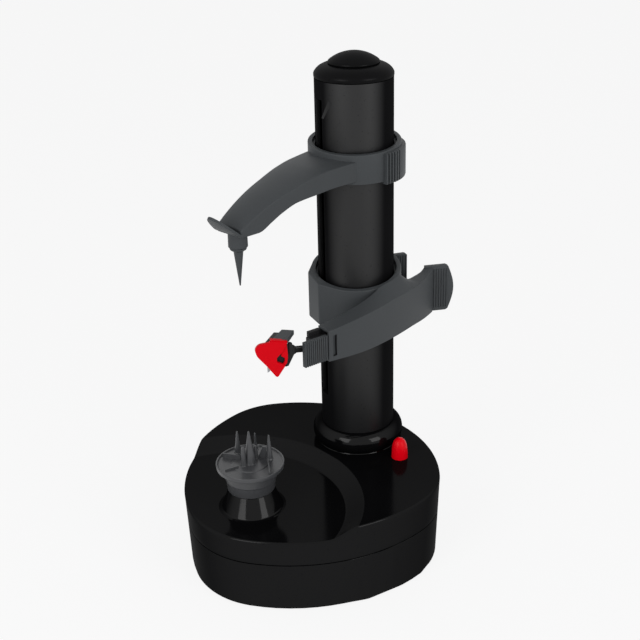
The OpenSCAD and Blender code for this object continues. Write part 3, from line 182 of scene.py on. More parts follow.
# %% [markdown]
# ## Metals
# Blade, shaft and pins are steel drawn or ground in one direction. The scratches run along that direction, so
# the noise is stretched up to thirtyfold: it stays long in one way and fine in the other.

# %% Steel, brass and the motor's can
def brushed(name, dark, light, rough, stretch):
    skin = Finish(name, Metallic=1.0)
    lines = skin.noise(300, 2, stretch)
    cloud = skin.noise(60, 2)
    skin.feed("Base Color", skin.blend(lines * 0.6 + cloud * 0.4, rgb(dark), rgb(light)))
    skin.feed("Roughness", rough + lines * 0.15)
    skin.feed("Normal", skin.bump(lines, 0.25, 0.00002))
    return skin.material


metals = {"steel": ("8b8d90", "b4b6b8", 0.22, (1, 1, 0.03)),
          "brass_part": ("a67f38", "c9a24a", 0.25, (1, 1, 0.03)), "motor_can": ("7b7e82", "989b9f", 0.35, (1, 1, 0.05))}
for name, measures in metals.items():
    finishes[name] = brushed(name, *measures)
print("metal finishes ready")

# %% [markdown]
# ## Painting the nodes that stay
# Gears, bushes, cells and screws are already right in the CAD model. They keep its mesh, and only the
# materials in their slots are swapped: the record names a slot for each node, and each slot has a finish.

# %% Finishes for the CAD nodes
painted = 0
for name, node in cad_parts.items():
    for place in node.material_slots:
        key = next((k for k in finishes if place.material and place.material.name.split(".")[0] == k), None)
        if key:
            place.material = finishes[key]
            painted += 1
print("CAD slots painted:", painted, "of", sum(len(n.material_slots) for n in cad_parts.values()))

# %% [markdown]
# ## From a bmesh to a finished piece
# Millimetres are the natural unit for a hand-sized machine, so every mesh is drawn in them and scaled once
# when it is done. `dress` does what each piece needs at the end: doubles merged, faces turned outwards,
# smooth shading, a small bevel on sharp edges because no moulding has a perfectly sharp one, the body it
# rides on, and the CAD nodes it stands for. `place` first moves a piece that was drawn in a frame of its own.

# %% Finishing a piece
MM = 0.001


def dress(name, bm, body, finish, instead=(), edge=0.0, sharp=35, second=None, place=None):
    if place:
        bmesh.ops.transform(bm, verts=bm.verts, matrix=place)
    bmesh.ops.remove_doubles(bm, verts=bm.verts, dist=0.002)
    bmesh.ops.recalc_face_normals(bm, faces=bm.faces)
    bmesh.ops.scale(bm, vec=(MM, MM, MM), verts=bm.verts)
    mesh = bpy.data.meshes.new(name)
    bm.to_mesh(mesh)
    bm.free()
    mesh.shade_smooth()
    for key in (finish, second) if second else (finish,):
        mesh.materials.append(finishes[key])
    piece = bpy.data.objects.new(name, mesh)
    bpy.context.collection.objects.link(piece)
    if edge:
        round_off = piece.modifiers.new("edge", "BEVEL")
        round_off.width, round_off.segments, round_off.limit_method = edge * MM, 2, "ANGLE"
        round_off.angle_limit = radians(sharp)
        piece.modifiers.new("flat", "WEIGHTED_NORMAL")
    else:
        mesh.set_sharp_from_angle(angle=radians(sharp))
    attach(piece, body)
    if instead:
        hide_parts(*instead)
    print(f"{name}: {len(mesh.polygons)} faces, rides on {body}")
    return piece


# %% [markdown]
# ## Turned shapes
# Hubs, caps, spikes and bushes are round, so each is a profile spun about its axis, as on a lathe. A corner
# in the profile would give a knife edge, so `eased` trades each corner for a small arc first.

# %% Lathe
def eased(corners, radius, steps=4):
    """The same line with its inner corners rounded."""
    line = [Vector(c) for c in corners]
    out = [line[0]]
    for before, here, after in zip(line, line[1:], line[2:]):
        reach = min(radius, (before - here).length * 0.45, (after - here).length * 0.45)
        start = here + (before - here).normalized() * reach
        end = here + (after - here).normalized() * reach
        for i in range(steps + 1):
            t = i / steps
            out.append(start * (1 - t) ** 2 + here * 2 * t * (1 - t) + end * t * t)
    return [tuple(p) for p in out + [line[-1]]]


def lathe(profile, centre=(0.0, 0.0), steps=96, bm=None):
    bm = bm or bmesh.new()
    row = [bm.verts.new((centre[0] + r, centre[1], z)) for r, z in profile]
    wires = [bm.edges.new(pair) for pair in zip(row, row[1:])]
    bmesh.ops.spin(bm, geom=row + wires, cent=(*centre, 0), axis=(0, 0, 1), angle=2 * pi, steps=steps,
                   use_merge=True, use_duplicate=False)
    return bm


# %% [markdown]
# ## Skins over cross-sections
# The base, the rings and the arms change shape along their length. A circle of vertices is laid on the first
# section, extruded, laid on the next, and so on, like ribs under a boat's planking. Open ends are filled
# flat.

# %% Skin
def skin(sections, bm=None, close=False):
    bm = bm or bmesh.new()
    loop = bmesh.ops.create_circle(bm, segments=len(sections[0]), radius=1)["verts"]
    wires = list({e for v in loop for e in v.link_edges})
    first = list(wires)
    for vert, spot in zip(loop, sections[0]):
        vert.co = spot
    for section in sections[1:]:
        made = bmesh.ops.extrude_edge_only(bm, edges=wires)["geom"]
        fresh = {g for g in made if isinstance(g, bmesh.types.BMVert)}
        wires = [g for g in made if isinstance(g, bmesh.types.BMEdge) and g.is_boundary]
        loop = [next(e.other_vert(v) for e in v.link_edges if e.other_vert(v) in fresh) for v in loop]
        for vert, spot in zip(loop, section):
            vert.co = spot
    if not close:
        bmesh.ops.holes_fill(bm, edges=[e for e in first + wires if e.is_boundary], sides=0)
    return bm


def slab(outline, low, high, bm=None):
    """A flat plate with that outline, between two heights."""
    return skin([[(x, y, z) for x, y in outline] for z in (low, high)], bm)


def block(low, high, bm):
    """A box between two opposite corners, added to bm."""
    size = [b - a for a, b in zip(low, high)]
    middle = [(a + b) / 2 for a, b in zip(low, high)]
    bmesh.ops.create_cube(bm, size=1, matrix=Matrix.Translation(middle) @ Matrix.Diagonal((*size, 1)))


print("mesh helpers ready")

# %% [markdown]
# ## The egg-shaped outline
# Seen from above the base is an egg: one narrow end arc, two long side arcs, two shoulder arcs and a broad
# end. All arcs meet smoothly. The walls lean out a little with height, which is the draft that lets the part
# leave its mould.

# %% Base outline
COLUMN_X = 49.07
FOOD_X = COLUMN_X - 92.4
STEP = (FOOD_X - 14, 4.0)
FRONT, BACK, HALF, END_R, SHOULDER_R, LEAN = 92.55, 57.55, 75.17, 48.1, 41.2, 0.0373
WIDEST = (FRONT - BACK) / 2


def egg(z, count=900):
    side_r = ((FRONT - END_R) ** 2 + HALF ** 2 - END_R ** 2) / (2 * (HALF - END_R))
    back_r = ((HALF - SHOULDER_R) ** 2 + BACK ** 2 - SHOULDER_R ** 2) / (2 * (BACK - SHOULDER_R))
    grow = LEAN * z
    side_y, front_x, back_x = side_r - HALF, WIDEST - FRONT + END_R, WIDEST + BACK - back_r
    shoulder_y = HALF - SHOULDER_R
    front_a, back_a = atan2(side_y, FRONT - END_R), atan2(shoulder_y, back_r - BACK)
    arcs = [(back_x, 0, back_r, -back_a, back_a), (WIDEST, shoulder_y, SHOULDER_R, back_a, pi / 2),
            (WIDEST, -side_y, side_r, pi / 2, pi - front_a), (front_x, 0, END_R, pi - front_a, pi + front_a),
            (WIDEST, side_y, side_r, pi + front_a, 1.5 * pi),
            (WIDEST, -shoulder_y, SHOULDER_R, 1.5 * pi, 2 * pi - back_a)]
    share = count // len(arcs)
    return [(x + (r + grow) * cos(a + (b - a) * i / share), y + (r + grow) * sin(a + (b - a) * i / share))
            for x, y, r, a, b in arcs for i in range(share)]


def rays(outline, centre, count):
    """Distance from the centre to the outline, in that many even directions."""
    steps = [(x - centre[0], y - centre[1]) for x, y in outline]
    polar = sorted((atan2(dy, dx) % (2 * pi), sqrt(dx ** 2 + dy ** 2)) for dx, dy in steps)
    polar = [(polar[-1][0] - 2 * pi, polar[-1][1])] + polar + [(polar[0][0] + 2 * pi, polar[0][1])]
    reach, k = [], 0
    for i in range(count):
        angle = 2 * pi * i / count
        while polar[k + 1][0] < angle:
            k += 1
        (a, p), (b, q) = polar[k], polar[k + 1]
        reach.append(p + (q - p) * (angle - a) / max(b - a, 1e-9))
    return reach


across = [x for x, y in egg(50)]
print("base spans x", round(min(across), 1), "to", round(max(across), 1))

# %% [markdown]
# ## Upper shell: two decks and the step between them
# The low deck catches peelings round the holder and the high deck stiffens the column's foot. The step
# between them is an arc, so the whole top is drawn as rays and rings about that arc's centre: every ring then
# follows the step exactly, and its foot and crest get a real fillet. Past the rim the rings turn down into
# the wall.

# %% Upper shell
SEAM, LOW_DECK, RISE, STEP_LOW, STEP_RUN, RIM = 32.1, 47.7, 5.8, 66.4, 10.1, 1.3
RAYS, WALL = 360, 2.35


def ramp(x, ease=1.1):
    return 0.0 if x < -ease else x if x > ease else (x + ease) ** 2 / (4 * ease)


def deck_height(r):
    return LOW_DECK + RISE / STEP_RUN * (ramp(r - STEP_LOW) - ramp(r - STEP_LOW - STEP_RUN))


def on_rays(reach, height):
    return [(STEP[0] + r * cos(2 * pi * i / RAYS), STEP[1] + r * sin(2 * pi * i / RAYS), z)
            for i, (r, z) in enumerate(zip(reach, height))]


WALL_TOP = 60.0
foot_edge, top_edge = (rays(egg(z), STEP, RAYS) for z in (0.0, WALL_TOP))


def wall_reach(i, z):
    return foot_edge[i] + (top_edge[i] - foot_edge[i]) * z / WALL_TOP


def upper_shell():
    step = [STEP_LOW + d for d in (-1.5, -1.1, -0.8, -0.4, 0, 0.4, 0.8, 1.1, 3, 5, 7)]
    step += [STEP_LOW + STEP_RUN + d for d in (-1.1, -0.8, -0.4, 0, 0.4, 0.8, 1.1, 1.5)]
    rings = [2, 12, 24, 36, 46, 54, 60] + step + [84, 92, 102, 112, 122, 132, 142]
    top = []
    rim = [wall_reach(i, deck_height(wall_reach(i, 50))) for i in range(RAYS)]
    for k, r in enumerate(rings):
        squeeze = 0.02 * (len(rings) - k)
        reach = [min(r, (e - RIM) * (1 - 0.0004 * squeeze) - squeeze) for e in rim]
        top.append(on_rays(reach, [deck_height(q) for q in reach]))
    for turn in (0, 15, 35, 55, 75, 90):
        back, drop = RIM * (1 - sin(radians(turn))), RIM * (1 - cos(radians(turn)))
        reach = [e - back for e in rim]
        top.append(on_rays(reach, [deck_height(e) - drop for e in rim]))
    for share, back in ((0.8, 0), (0.6, 0), (0.4, 0), (0.2, 0), (0.04, 0), (0.015, 0.12), (0, 0.45)):
        height = [SEAM + 0.3 + share * (deck_height(e) - RIM - SEAM - 0.3) for e in rim]
        top.append(on_rays([wall_reach(i, z) - back for i, z in enumerate(height)], height))
    inner = [wall_reach(i, SEAM) - WALL for i in range(RAYS)]
    top += [on_rays(inner, [SEAM + rise] * RAYS) for rise in (0.3, 9)]
    return skin(top)


bm = upper_shell()
for face in bm.faces:
    face.material_index = int(face.calc_center_median().z > LOW_DECK - 0.4 and face.normal.z > 0.8)
dress("upper_shell", bm, "housing", "black_shell", ["base_upper"], sharp=50, second="black_deck")

# %% [markdown]
# The pedestal under the holder is a plain cone, so that juice runs off it. A half-round bead hides the joint
# between column and deck. Both are moulded with the shell: the cone melts into it with a fillet, the bead
# stands on it.

# %% Pedestal and bead
PEDESTAL_Z = LOW_DECK + 11.7
cone = eased([(19.6, LOW_DECK - 0.05), (17.4, LOW_DECK + 0.35), (13.0, PEDESTAL_Z - 0.3),
              (12.6, PEDESTAL_Z + 0.02)], 0.7)
pedestal = [(19.6, LOW_DECK - 0.6)] + cone + [(3.4, PEDESTAL_Z + 0.02), (3.4, LOW_DECK - 0.6)]
dress("pedestal", lathe(pedestal, (FOOD_X, 0)), "housing", "black_foot")
HIGH_DECK, BEAD_H, BEAD_LOW = LOW_DECK + RISE, 13, sin(radians(60))
half_h = BEAD_H / (1 + BEAD_LOW)
bulge = [(22.02 + 5.48 * cos(radians(a)), HIGH_DECK + half_h * (sin(radians(a)) + BEAD_LOW))
         for a in range(-60, 91, 6)]
bead = [(25.9, HIGH_DECK - 0.4), (25.4, HIGH_DECK)] + bulge[1:]
bead += [(21.9, HIGH_DECK + 12.9), (21.9, HIGH_DECK - 0.4)]
dress("foot_bead", lathe(bead, (COLUMN_X, 0)), "housing", "black_foot")

# %% [markdown]
# ## Lower tray
# The tray carries the works, and from outside only its wall, its rolled lower edge and the shadow groove at
# the seam show. Underneath it needs the openings that the CAD model has, for the battery door, the feet and
# the screws. So the tray starts as a merged copy of the CAD mesh, and its outer lower edge gets the roll that
# the CAD leaves sharp.

# %% Tray from the CAD mesh
def copy_of(node):
    bm = bmesh.new()
    bm.from_mesh(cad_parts[node].data)
    bmesh.ops.scale(bm, vec=(1 / MM, 1 / MM, 1 / MM), verts=bm.verts)
    bmesh.ops.remove_doubles(bm, verts=bm.verts, dist=0.001)
    bmesh.ops.dissolve_limit(bm, angle_limit=radians(0.3), verts=bm.verts, edges=bm.edges)
    return bm


def near_wall(vert, z):
    spot = vert.co
    angle = atan2(spot.y - STEP[1], spot.x - STEP[0]) % (2 * pi)
    reach = wall_reach(int(round(angle / (2 * pi) * RAYS)) % RAYS, z)
    return abs(spot.z - z) < 0.05 and abs((spot.xy - Vector(STEP)).length - reach) < 0.6


bm = copy_of("base_lower")
for height, roll in ((1.6, 2.0), (SEAM, 0.35)):
    lip = [e for e in bm.edges if all(near_wall(v, height) for v in e.verts)]
    bmesh.ops.bevel(bm, geom=lip, offset=roll, segments=4 if roll > 1 else 2, profile=0.5, affect="EDGES",
                    clamp_overlap=False, material=-1)
    print("rolled edge at", height, "over", len(lip), "edges")
tray = dress("tray", bm, "housing", "black_shell", ["base_lower"], sharp=28)
tray.modifiers.new("flat", "WEIGHTED_NORMAL").keep_sharp = True

# %% [markdown]
# ## Slotted column
# The column is a tube with one lengthwise slot, through which the carriage's half nut reaches the screw. Its
# section is therefore a letter C with rounded lips. The C is drawn once, extruded along the slot, and plain
# tube is lathed below and above it. The slot's upper end has the slanted lead-in that lets the nut in.

# %% Column
SLOT, SLOT_LOW, SLOT_HIGH, TUBE_R, BORE_R = radians(157), 88.0, 268.0, 22.0, 19.4


def c_section(z, half=4.0, lip=0.45):
    outer, inner = asin((half + lip) / TUBE_R), asin(half / BORE_R)
    ring = [(TUBE_R, outer + (2 * pi - 2 * outer) * i / 96) for i in range(97)]
    ring += [(TUBE_R - 0.14, -asin((half + 0.13) / TUBE_R)), (TUBE_R - lip, -asin(half / (TUBE_R - lip)))]
    ring += [(BORE_R, -inner - (2 * pi - 2 * inner) * i / 48) for i in range(49)]
    ring += [(TUBE_R - lip, asin(half / (TUBE_R - lip))), (TUBE_R - 0.14, asin((half + 0.13) / TUBE_R))]
    return [(COLUMN_X + r * cos(SLOT + a), r * sin(SLOT + a), z) for r, a in ring]


bm = skin([c_section(SLOT_LOW + (SLOT_HIGH - SLOT_LOW) * i / 8) for i in range(9)])
for low, high in ((HIGH_DECK - 2.4, SLOT_LOW), (SLOT_HIGH, 278.2)):
    lathe([(BORE_R, low), (TUBE_R, low), (TUBE_R, high - 0.01), (TUBE_R - (0.3 if high > 270 else 0), high),
           (BORE_R, high), (BORE_R, low)], (COLUMN_X, 0), bm=bm)
dress("column_tube", bm, "housing", "black_column", ["column"], sharp=40)

# %% [markdown]
# The lead-in is a shallow facet on the tube's face, lower on the slot's side than on the other. It is drawn as a
# small curved patch of lighter matt black a tenth of a millimetre over the wall: a painted highlight of the facet.

# %% Slot lead-in, a painted highlight
def patch(corners, lift=0.12, steps=6):
    """Four corners (angle in degrees, height) on the tube, filled with a curved patch."""
    (a0, z0), (a1, z1), (a2, z2), (a3, z3) = corners
    bm = bmesh.new()
    bmesh.ops.create_grid(bm, x_segments=steps, y_segments=2, size=1)
    for vert in bm.verts:
        u, v = (vert.co.x + 1) / 2, (vert.co.y + 1) / 2
        angle = radians((a0 * (1 - u) + a1 * u) * (1 - v) + (a3 * (1 - u) + a2 * u) * v)
        z = (z0 * (1 - u) + z1 * u) * (1 - v) + (z3 * (1 - u) + z2 * u) * v
        vert.co = (COLUMN_X + (TUBE_R + lift) * cos(angle), (TUBE_R + lift) * sin(angle), z)
    bmesh.ops.solidify(bm, geom=bm.faces[:], thickness=0.3)
    return bm


# A lighter matt patch on the tube's wall: the painted highlight of the lead-in facet.
dress("lead_in_painted_highlight", patch([(168, 258.5), (172.5, 258.5), (188, 267.5), (182.5, 268.5)]), "housing",
      "black_fitting")

# %% [markdown]
# ## Cap and plug
# The cap closes the column and holds the upper bush. It overhangs the tube by a fifth of a millimetre, so a
# fine line shows below it, then bends over in a rounded shoulder. The plug is a low dome with its own small
# rim.

# %% Cap and plug
CAP_Z, CAP_R, PLUG_R, SHOULDER_H, DOME_H = 280.3, 22.2, 14.3, 5.1, 5.1
shoulder = [((1 - t) ** 2 * CAP_R + 2 * t * (1 - t) * 20.6 + t * t * PLUG_R,
             CAP_Z + 2 * t * (1 - t) * 3.9 + t * t * SHOULDER_H) for t in [i / 12 for i in range(13)]]
cap = [(19.4, 278.5), (21.8, 278.5), (22.1, 278.65), (CAP_R, 278.9), (CAP_R, CAP_Z - 0.3)]
cap += shoulder + [(13.4, CAP_Z + SHOULDER_H), (13.4, CAP_Z), (19.4, CAP_Z - 1)]
dress("cap_cover", lathe(cap, (COLUMN_X, 0), 128), "housing", "black_cap", ["column_cap"], sharp=40)
ball = (PLUG_R ** 2 + DOME_H ** 2) / (2 * DOME_H)
rim_z = CAP_Z + SHOULDER_H
top_z = rim_z + 6.4
plug = [(8, rim_z - 4), (13.9, rim_z - 0.05), (PLUG_R, rim_z + 0.3), (PLUG_R, rim_z + 1.0), (14.0, rim_z + 1.5)]
for r in [PLUG_R * (1 - i / 12) for i in range(1, 13)]:
    plug.append((r, top_z - ball + sqrt(ball ** 2 - r ** 2)))
dress("cap_dome", lathe(plug, (COLUMN_X, 0), 128), "housing", "black_cap", ["cap_plug"], sharp=50)

# %% [markdown]
# ## Two rings on the column
# Both rings are split-mould parts with a slightly tilted upper face. A ring is a closed section carried round
# the column: outer wall, rolled top edge, a relief that leaves a dark gap, then the bore. The outer radius
# and the lower edge are functions of the angle, and the top is a plane that tilts towards the direction
# `VIEW`.

# %% Ring sections
VIEW, RING_R = radians(-138.6), 26.3


def ring(outer, low, top, tilt, bore=22.35, relief=23.6, relief_h=3.0, count=360, roll=0.7):
    """outer and low are functions of the angle; top is the upper face's height on the axis."""
    angles = [2 * pi * i / count for i in range(count)]

    def face(r, a):
        return top - r * cos(a - VIEW) * tan(radians(tilt))

    rows = [lambda a: (outer(a) - roll, low(a)), lambda a: (outer(a) - 0.2, low(a) + 0.2),
            lambda a: (outer(a), low(a) + roll), lambda a: (outer(a), face(outer(a), a) - roll),
            lambda a: (outer(a) - 0.08, face(outer(a), a) - 0.35),
            lambda a: (outer(a) - 0.3, face(outer(a), a) - 0.08), lambda a: (outer(a) - roll, face(outer(a), a)),
            lambda a: (relief + 0.3, face(relief, a)), lambda a: (relief + 0.05, face(relief, a) - 0.12),
            lambda a: (relief, face(relief, a) - 0.5), lambda a: (relief, face(relief, a) - relief_h),
            lambda a: (bore, face(bore, a) - relief_h), lambda a: (bore, low(a))]
    rows.append(rows[0])
    return skin([[(COLUMN_X + row(a)[0] * cos(a), row(a)[0] * sin(a), row(a)[1]) for a in angles] for row in rows],
                close=True)


def polygon_reach(corners, a):
    """How far a polygon round the origin reaches in direction a."""
    reach = 0.0
    for (x0, y0), (x1, y1) in zip(corners, corners[1:] + corners[:1]):
        ex, ey, dx, dy = x1 - x0, y1 - y0, cos(a), sin(a)
        cross = dx * ey - dy * ex
        if abs(cross) > 1e-9:
            along, share = (x0 * ey - y0 * ex) / cross, (x0 * dy - y0 * dx) / cross
            if along > 0 and -1e-6 <= share <= 1 + 1e-6:
                reach = max(reach, along)
    return reach


CARRIAGE_LOW, CARRIAGE_Z, CARRIAGE_TILT, HOUSING_SPAN = 138.0, 166.2, 10.4, radians(34)
housing = [(0, 0), (21.8, -14.7), (27.6, -7.25), (27.6, 7.25), (21.8, 14.7)]


def carriage_outer(a):
    spread = [max(RING_R, polygon_reach(housing, a - SLOT + radians(d))) for d in (-1.0, -0.5, 0, 0.5, 1.0)]
    return sum(spread) / len(spread)


def carriage_low(a):
    turn = (a - SLOT + pi) % (2 * pi) - pi
    return CARRIAGE_LOW - (1.0 if abs(turn) < HOUSING_SPAN else 0.0)


bm = ring(carriage_outer, carriage_low, CARRIAGE_Z, CARRIAGE_TILT)
dress("carriage_ring", bm, "carriage", "grey_moulding", ["carriage"], sharp=32)

# %% [markdown]
# The carriage also carries the fixed squeeze tab and the lug of the arm's hinge. The tab is a ribbed plate
# with rounded corners: finger and thumb press it and the arm's tail together, the arm swings open, and the
# nut lets go of the screw.

# %% Ribbed tabs and the hinge lug
def tab(name, foot, turn, length, low, high, body, ribs, bulge, thick=3.0, inset=1.0):
    """A plate from foot in direction turn, with a bulging far edge and upright ribs on one side."""
    heights = [i / 12 for i in range(13)]
    outline = [(-3.0, low), (-3.0, high)]
    outline += [(length - 1.6, high), (length - 0.7, high - 0.4)]
    outline += [(length + bulge * sin(pi * (1 - t)), high - 0.9 - (high - low - 1.8) * t) for t in heights]
    outline += [(length - 0.7, low + 0.4), (length - 1.6, low)]
    bm = skin([[(u, y, z) for u, z in outline] for y in (-thick / 2, thick / 2)])
    for i in range(ribs):
        u = length - 0.9 - i * 1.55
        block((u - 0.42, -thick / 2 - 0.55, low + inset), (u + 0.42, -thick / 2 + 0.38, high - inset), bm)
    place = Matrix.Translation((*foot, 0)) @ Matrix.Rotation(turn, 4, "Z")
    dress(name, bm, body, "grey_moulding", edge=0.3, place=place)


tab_turn = radians(-17)
tab_foot = (COLUMN_X + RING_R * cos(tab_turn), RING_R * sin(tab_turn))
tab("fixed_tab", tab_foot, radians(-29.7), 8.1, 131.0, 168.0, "carriage", 5, 0.0)
HINGE_X, HINGE_Y, LUG_R = 61.0, -26.5, 3.6
toward = atan2(-HINGE_Y, COLUMN_X - HINGE_X)
half_ring = [(-LUG_R * cos(a), LUG_R * sin(a)) for a in [radians(v) for v in range(-78, 79, 13)]]
dress("hinge_lug", slab(half_ring + [(6.0, 3.5), (6.0, -3.5)], 140.5, 149.5), "carriage", "grey_moulding", edge=0.3,
      place=Matrix.Translation((HINGE_X, HINGE_Y, 0)) @ Matrix.Rotation(toward, 4, "Z"))

# %% [markdown]
# ## Collar with ribbed grips
# The upper ring is held by friction and is moved by squeezing its two thicker zones, which have a few upright
# grooves where thumb and finger land. The zones are sectors with a larger radius, and a groove steps it back.

# %% Collar and grips
COLLAR_LOW, COLLAR_Z, COLLAR_TILT, GRIP_R, GROOVE = 224.0, 242.7, 4.3, 28.6, 1.1
collar = ring(lambda a: RING_R, lambda a: COLLAR_LOW, COLLAR_Z, COLLAR_TILT, relief_h=2.0)
dress("collar_ring", collar, "top_arm", "grey_moulding", ["top_arm"], sharp=32)


def grip_zone(sign):
    rows, steps, start, run = [], 158, 22, 79
    for i in range(steps + 1):
        turn = start + run * i / steps
        a = sign * radians(turn)
        out = GRIP_R - GROOVE * (turn > 78 and (turn - 78.4) % 4.6 < 1.9)
        top = COLLAR_Z - out * cos(a - VIEW) * tan(radians(COLLAR_TILT))
        low, high = COLLAR_LOW - 1.2, min(COLLAR_Z - 2.5, top)
        rows.append([(COLUMN_X + r * cos(a), r * sin(a), z) for r, z in
                     ((22.6, low), (out - 0.6, low), (out - 0.15, low + 0.15), (out, low + 0.6), (out, high - 0.6),
                      (out - 0.15, high - 0.15), (out - 0.6, high), (22.6, high))])
    return skin(rows)


for side, sign in (("right", -1), ("left", 1)):
    dress(f"grip_{side}", grip_zone(sign), "top_arm", "grey_moulding", sharp=40)

# %% [markdown]
# ## Top arm
# The top arm leaves the collar level and bends down to the spike, wide at the root and narrow at the tip,
# with a slightly crowned top. Such a shape is told by a few measures at a few stations, so tables give its
# upper and lower line and a smooth curve runs through them. At the root each line ends on the ring's wall,
# not on a flat cut.

# %% Smooth tables
def smooth(table, x):
    """A curve through the table's points that never overshoots them."""
    for k, ((x0, y0), (x1, y1)) in enumerate(zip(table, table[1:])):
        if x <= x1 or k == len(table) - 2:
            break

    def slope(i):
        if i == 0 or i == len(table) - 1:
            j = 0 if i == 0 else i - 1
            return (table[j + 1][1] - table[j][1]) / (table[j + 1][0] - table[j][0])
        left = (table[i][1] - table[i - 1][1]) / (table[i][0] - table[i - 1][0])
        after = (table[i + 1][1] - table[i][1]) / (table[i + 1][0] - table[i][0])
        return 0.0 if left * after <= 0 else 2 * left * after / (left + after)

    span = x1 - x0
    t = min(max((x - x0) / span, 0), 1)
    return (y0 * (2 * t ** 3 - 3 * t ** 2 + 1) + span * slope(k) * (t ** 3 - 2 * t ** 2 + t)
            + y1 * (3 * t ** 2 - 2 * t ** 3) + span * slope(k + 1) * (t ** 3 - t ** 2))


# %% Top arm
TIP_X, TIP_Z, ARM_DROP, ROOT_R = FOOD_X - 5.7, 213.8, 19.3, 24.2
UPPER = [(0, 0), (0.075, 0.19), (0.19, 0.425), (0.3, 0.6), (0.42, 0.74), (0.61, 0.92), (0.75, 0.984), (0.96, 1),
         (1, 1)]
TIP_HALF, ROOT_HALF = 9, 18.5
UNDER = [(0, 0), (0.14, 0), (0.25, 0.2), (0.33, 0.36), (0.46, 0.53), (0.61, 0.58), (0.8, 0.63), (1, 0.63)]


def arm_rib(share):
    half = TIP_HALF + share * (ROOT_HALF - TIP_HALF)
    low, high = TIP_Z + ARM_DROP * smooth(UNDER, share), TIP_Z + 3.9 + ARM_DROP * smooth(UPPER, share)
    corners = [(-half, low), (-half * 0.5, low), (0, low), (half * 0.5, low), (half, low), (half, (low + high) / 2),
               (half, high)] + [(half * y, high + 1.0 * (1 - y * y)) for y in (0.6, 0.3, 0, -0.3, -0.6)]
    corners += [(-half, high), (-half, (low + high) / 2)]
    rib = []
    for y, z in corners:
        end = COLUMN_X - sqrt(ROOT_R ** 2 - (y * ROOT_HALF / half) ** 2)
        rib.append((TIP_X + share * (end - TIP_X), y, z))
    return rib


dress("top_arm_beam", skin([arm_rib(i / 48) for i in range(49)]), "top_arm", "grey_moulding", edge=0.7, sharp=40)

# %% [markdown]
# The thumb lip flares up from the tip like the brim of a hat: longest on the middle line, gone at the sides.
# A strip is carried across the arm's width, and its length follows a half ellipse that is drawn out to a
# point.

# %% Thumb lip
LIP_HALF = 9.2


def lip_slice(y):
    reach = max(1 - (y / (LIP_HALF + 0.4)) ** 2, 0.02) ** 0.75
    out, rise = 12.6 * reach, 12.0 * reach
    curve = [(TIP_X + 1.2 - (out + 1.2) * t, TIP_Z + rise * t ** 1.35) for t in (0, 0.3, 0.55, 0.8, 1)]
    back = [(x + 0.75, z + 1.15) for x, z in reversed(curve)]
    back[-1] = (TIP_X + 1.6, TIP_Z + 3.0)
    back[-2] = (back[-2][0] + 0.2, back[-2][1] + 0.4)
    return [(x, y, z) for x, z in curve + back]


lip = skin([lip_slice(-LIP_HALF + 2 * LIP_HALF * i / 20) for i in range(21)])
dress("thumb_lip", lip, "top_arm", "grey_moulding", edge=0.25, sharp=50)

# %% [markdown]
# ## Top spike
# A sleeve under the arm's tip holds the spike's axle. The spike turns with the potato, so it has its own
# shoulder below a hair-thin gap. The point is a little blunt.

# %% Sleeve and spike
inner = (2.7, TIP_Z - 7.8)
sleeve = [inner] + eased([inner, (5.2, TIP_Z - 7.8), (5.1, TIP_Z + 0.4)], 0.35) + [(2.7, TIP_Z + 0.4), inner]
dress("spike_sleeve", lathe(sleeve, (FOOD_X, 0), 64), "top_arm", "grey_moulding")
start = (0, TIP_Z - 8.1)
point = eased([start, (4.7, TIP_Z - 8.1), (4.4, TIP_Z - 9.2), (2.6, TIP_Z - 10.5), (0.35, TIP_Z - 29.8),
               (0, TIP_Z - 30)], 0.3)
dress("spike_point", lathe(point + [start], (FOOD_X, 0), 64), "spike", "grey_moulding", ["top_spike"], sharp=50)

# %% [markdown]
# ## Peeling arm
# The peeling arm is a curved beam: its outer face follows a circle of 215 mm, and its upper face twists from
# flat at the open end to steep over the column. Four lines run along it, and each comes from a table of
# heights. The open end is a socket for the blade cartridge, with a window in the outer face for the
# cartridge's latch.

# %% Arm beam
ARM_R, ARM_C, ARM_Z, ARM_T = 215.3, (28.0, 180.0), 145.0, 9.5
ARM_X, ARM_RUN, WINDOW_H = FOOD_X + 33.33, 98.0, 6.6
RIDGE = [(0, 0.96), (0.18, 1.06), (0.39, 1.15), (0.55, 1.22), (0.71, 1.15), (0.9, 1.25), (1, 1.56)]
BELOW = [(0, -0.85), (0.3, -1.1), (0.52, -1.16), (0.71, -1.2), (0.88, -1.33), (1, -1.38)]
CREST = [(0, 1), (0.15, 1.13), (0.3, 1.3), (0.45, 1.56), (0.55, 1.86), (0.695, 2), (0.83, 1.3), (0.93, 1.32),
         (1, 1.58)]
WIDTH = [(0, 1), (0.6, 1), (0.71, 0.95), (0.86, 0.74), (1, 0.5)]
arm_turn = asin((ARM_X - ARM_C[0]) / ARM_R)


def on_arm(x, depth, z):
    turn, r = asin((x - ARM_C[0]) / ARM_R), ARM_R - depth
    return (ARM_C[0] + r * sin(turn), ARM_C[1] - r * cos(turn), z)


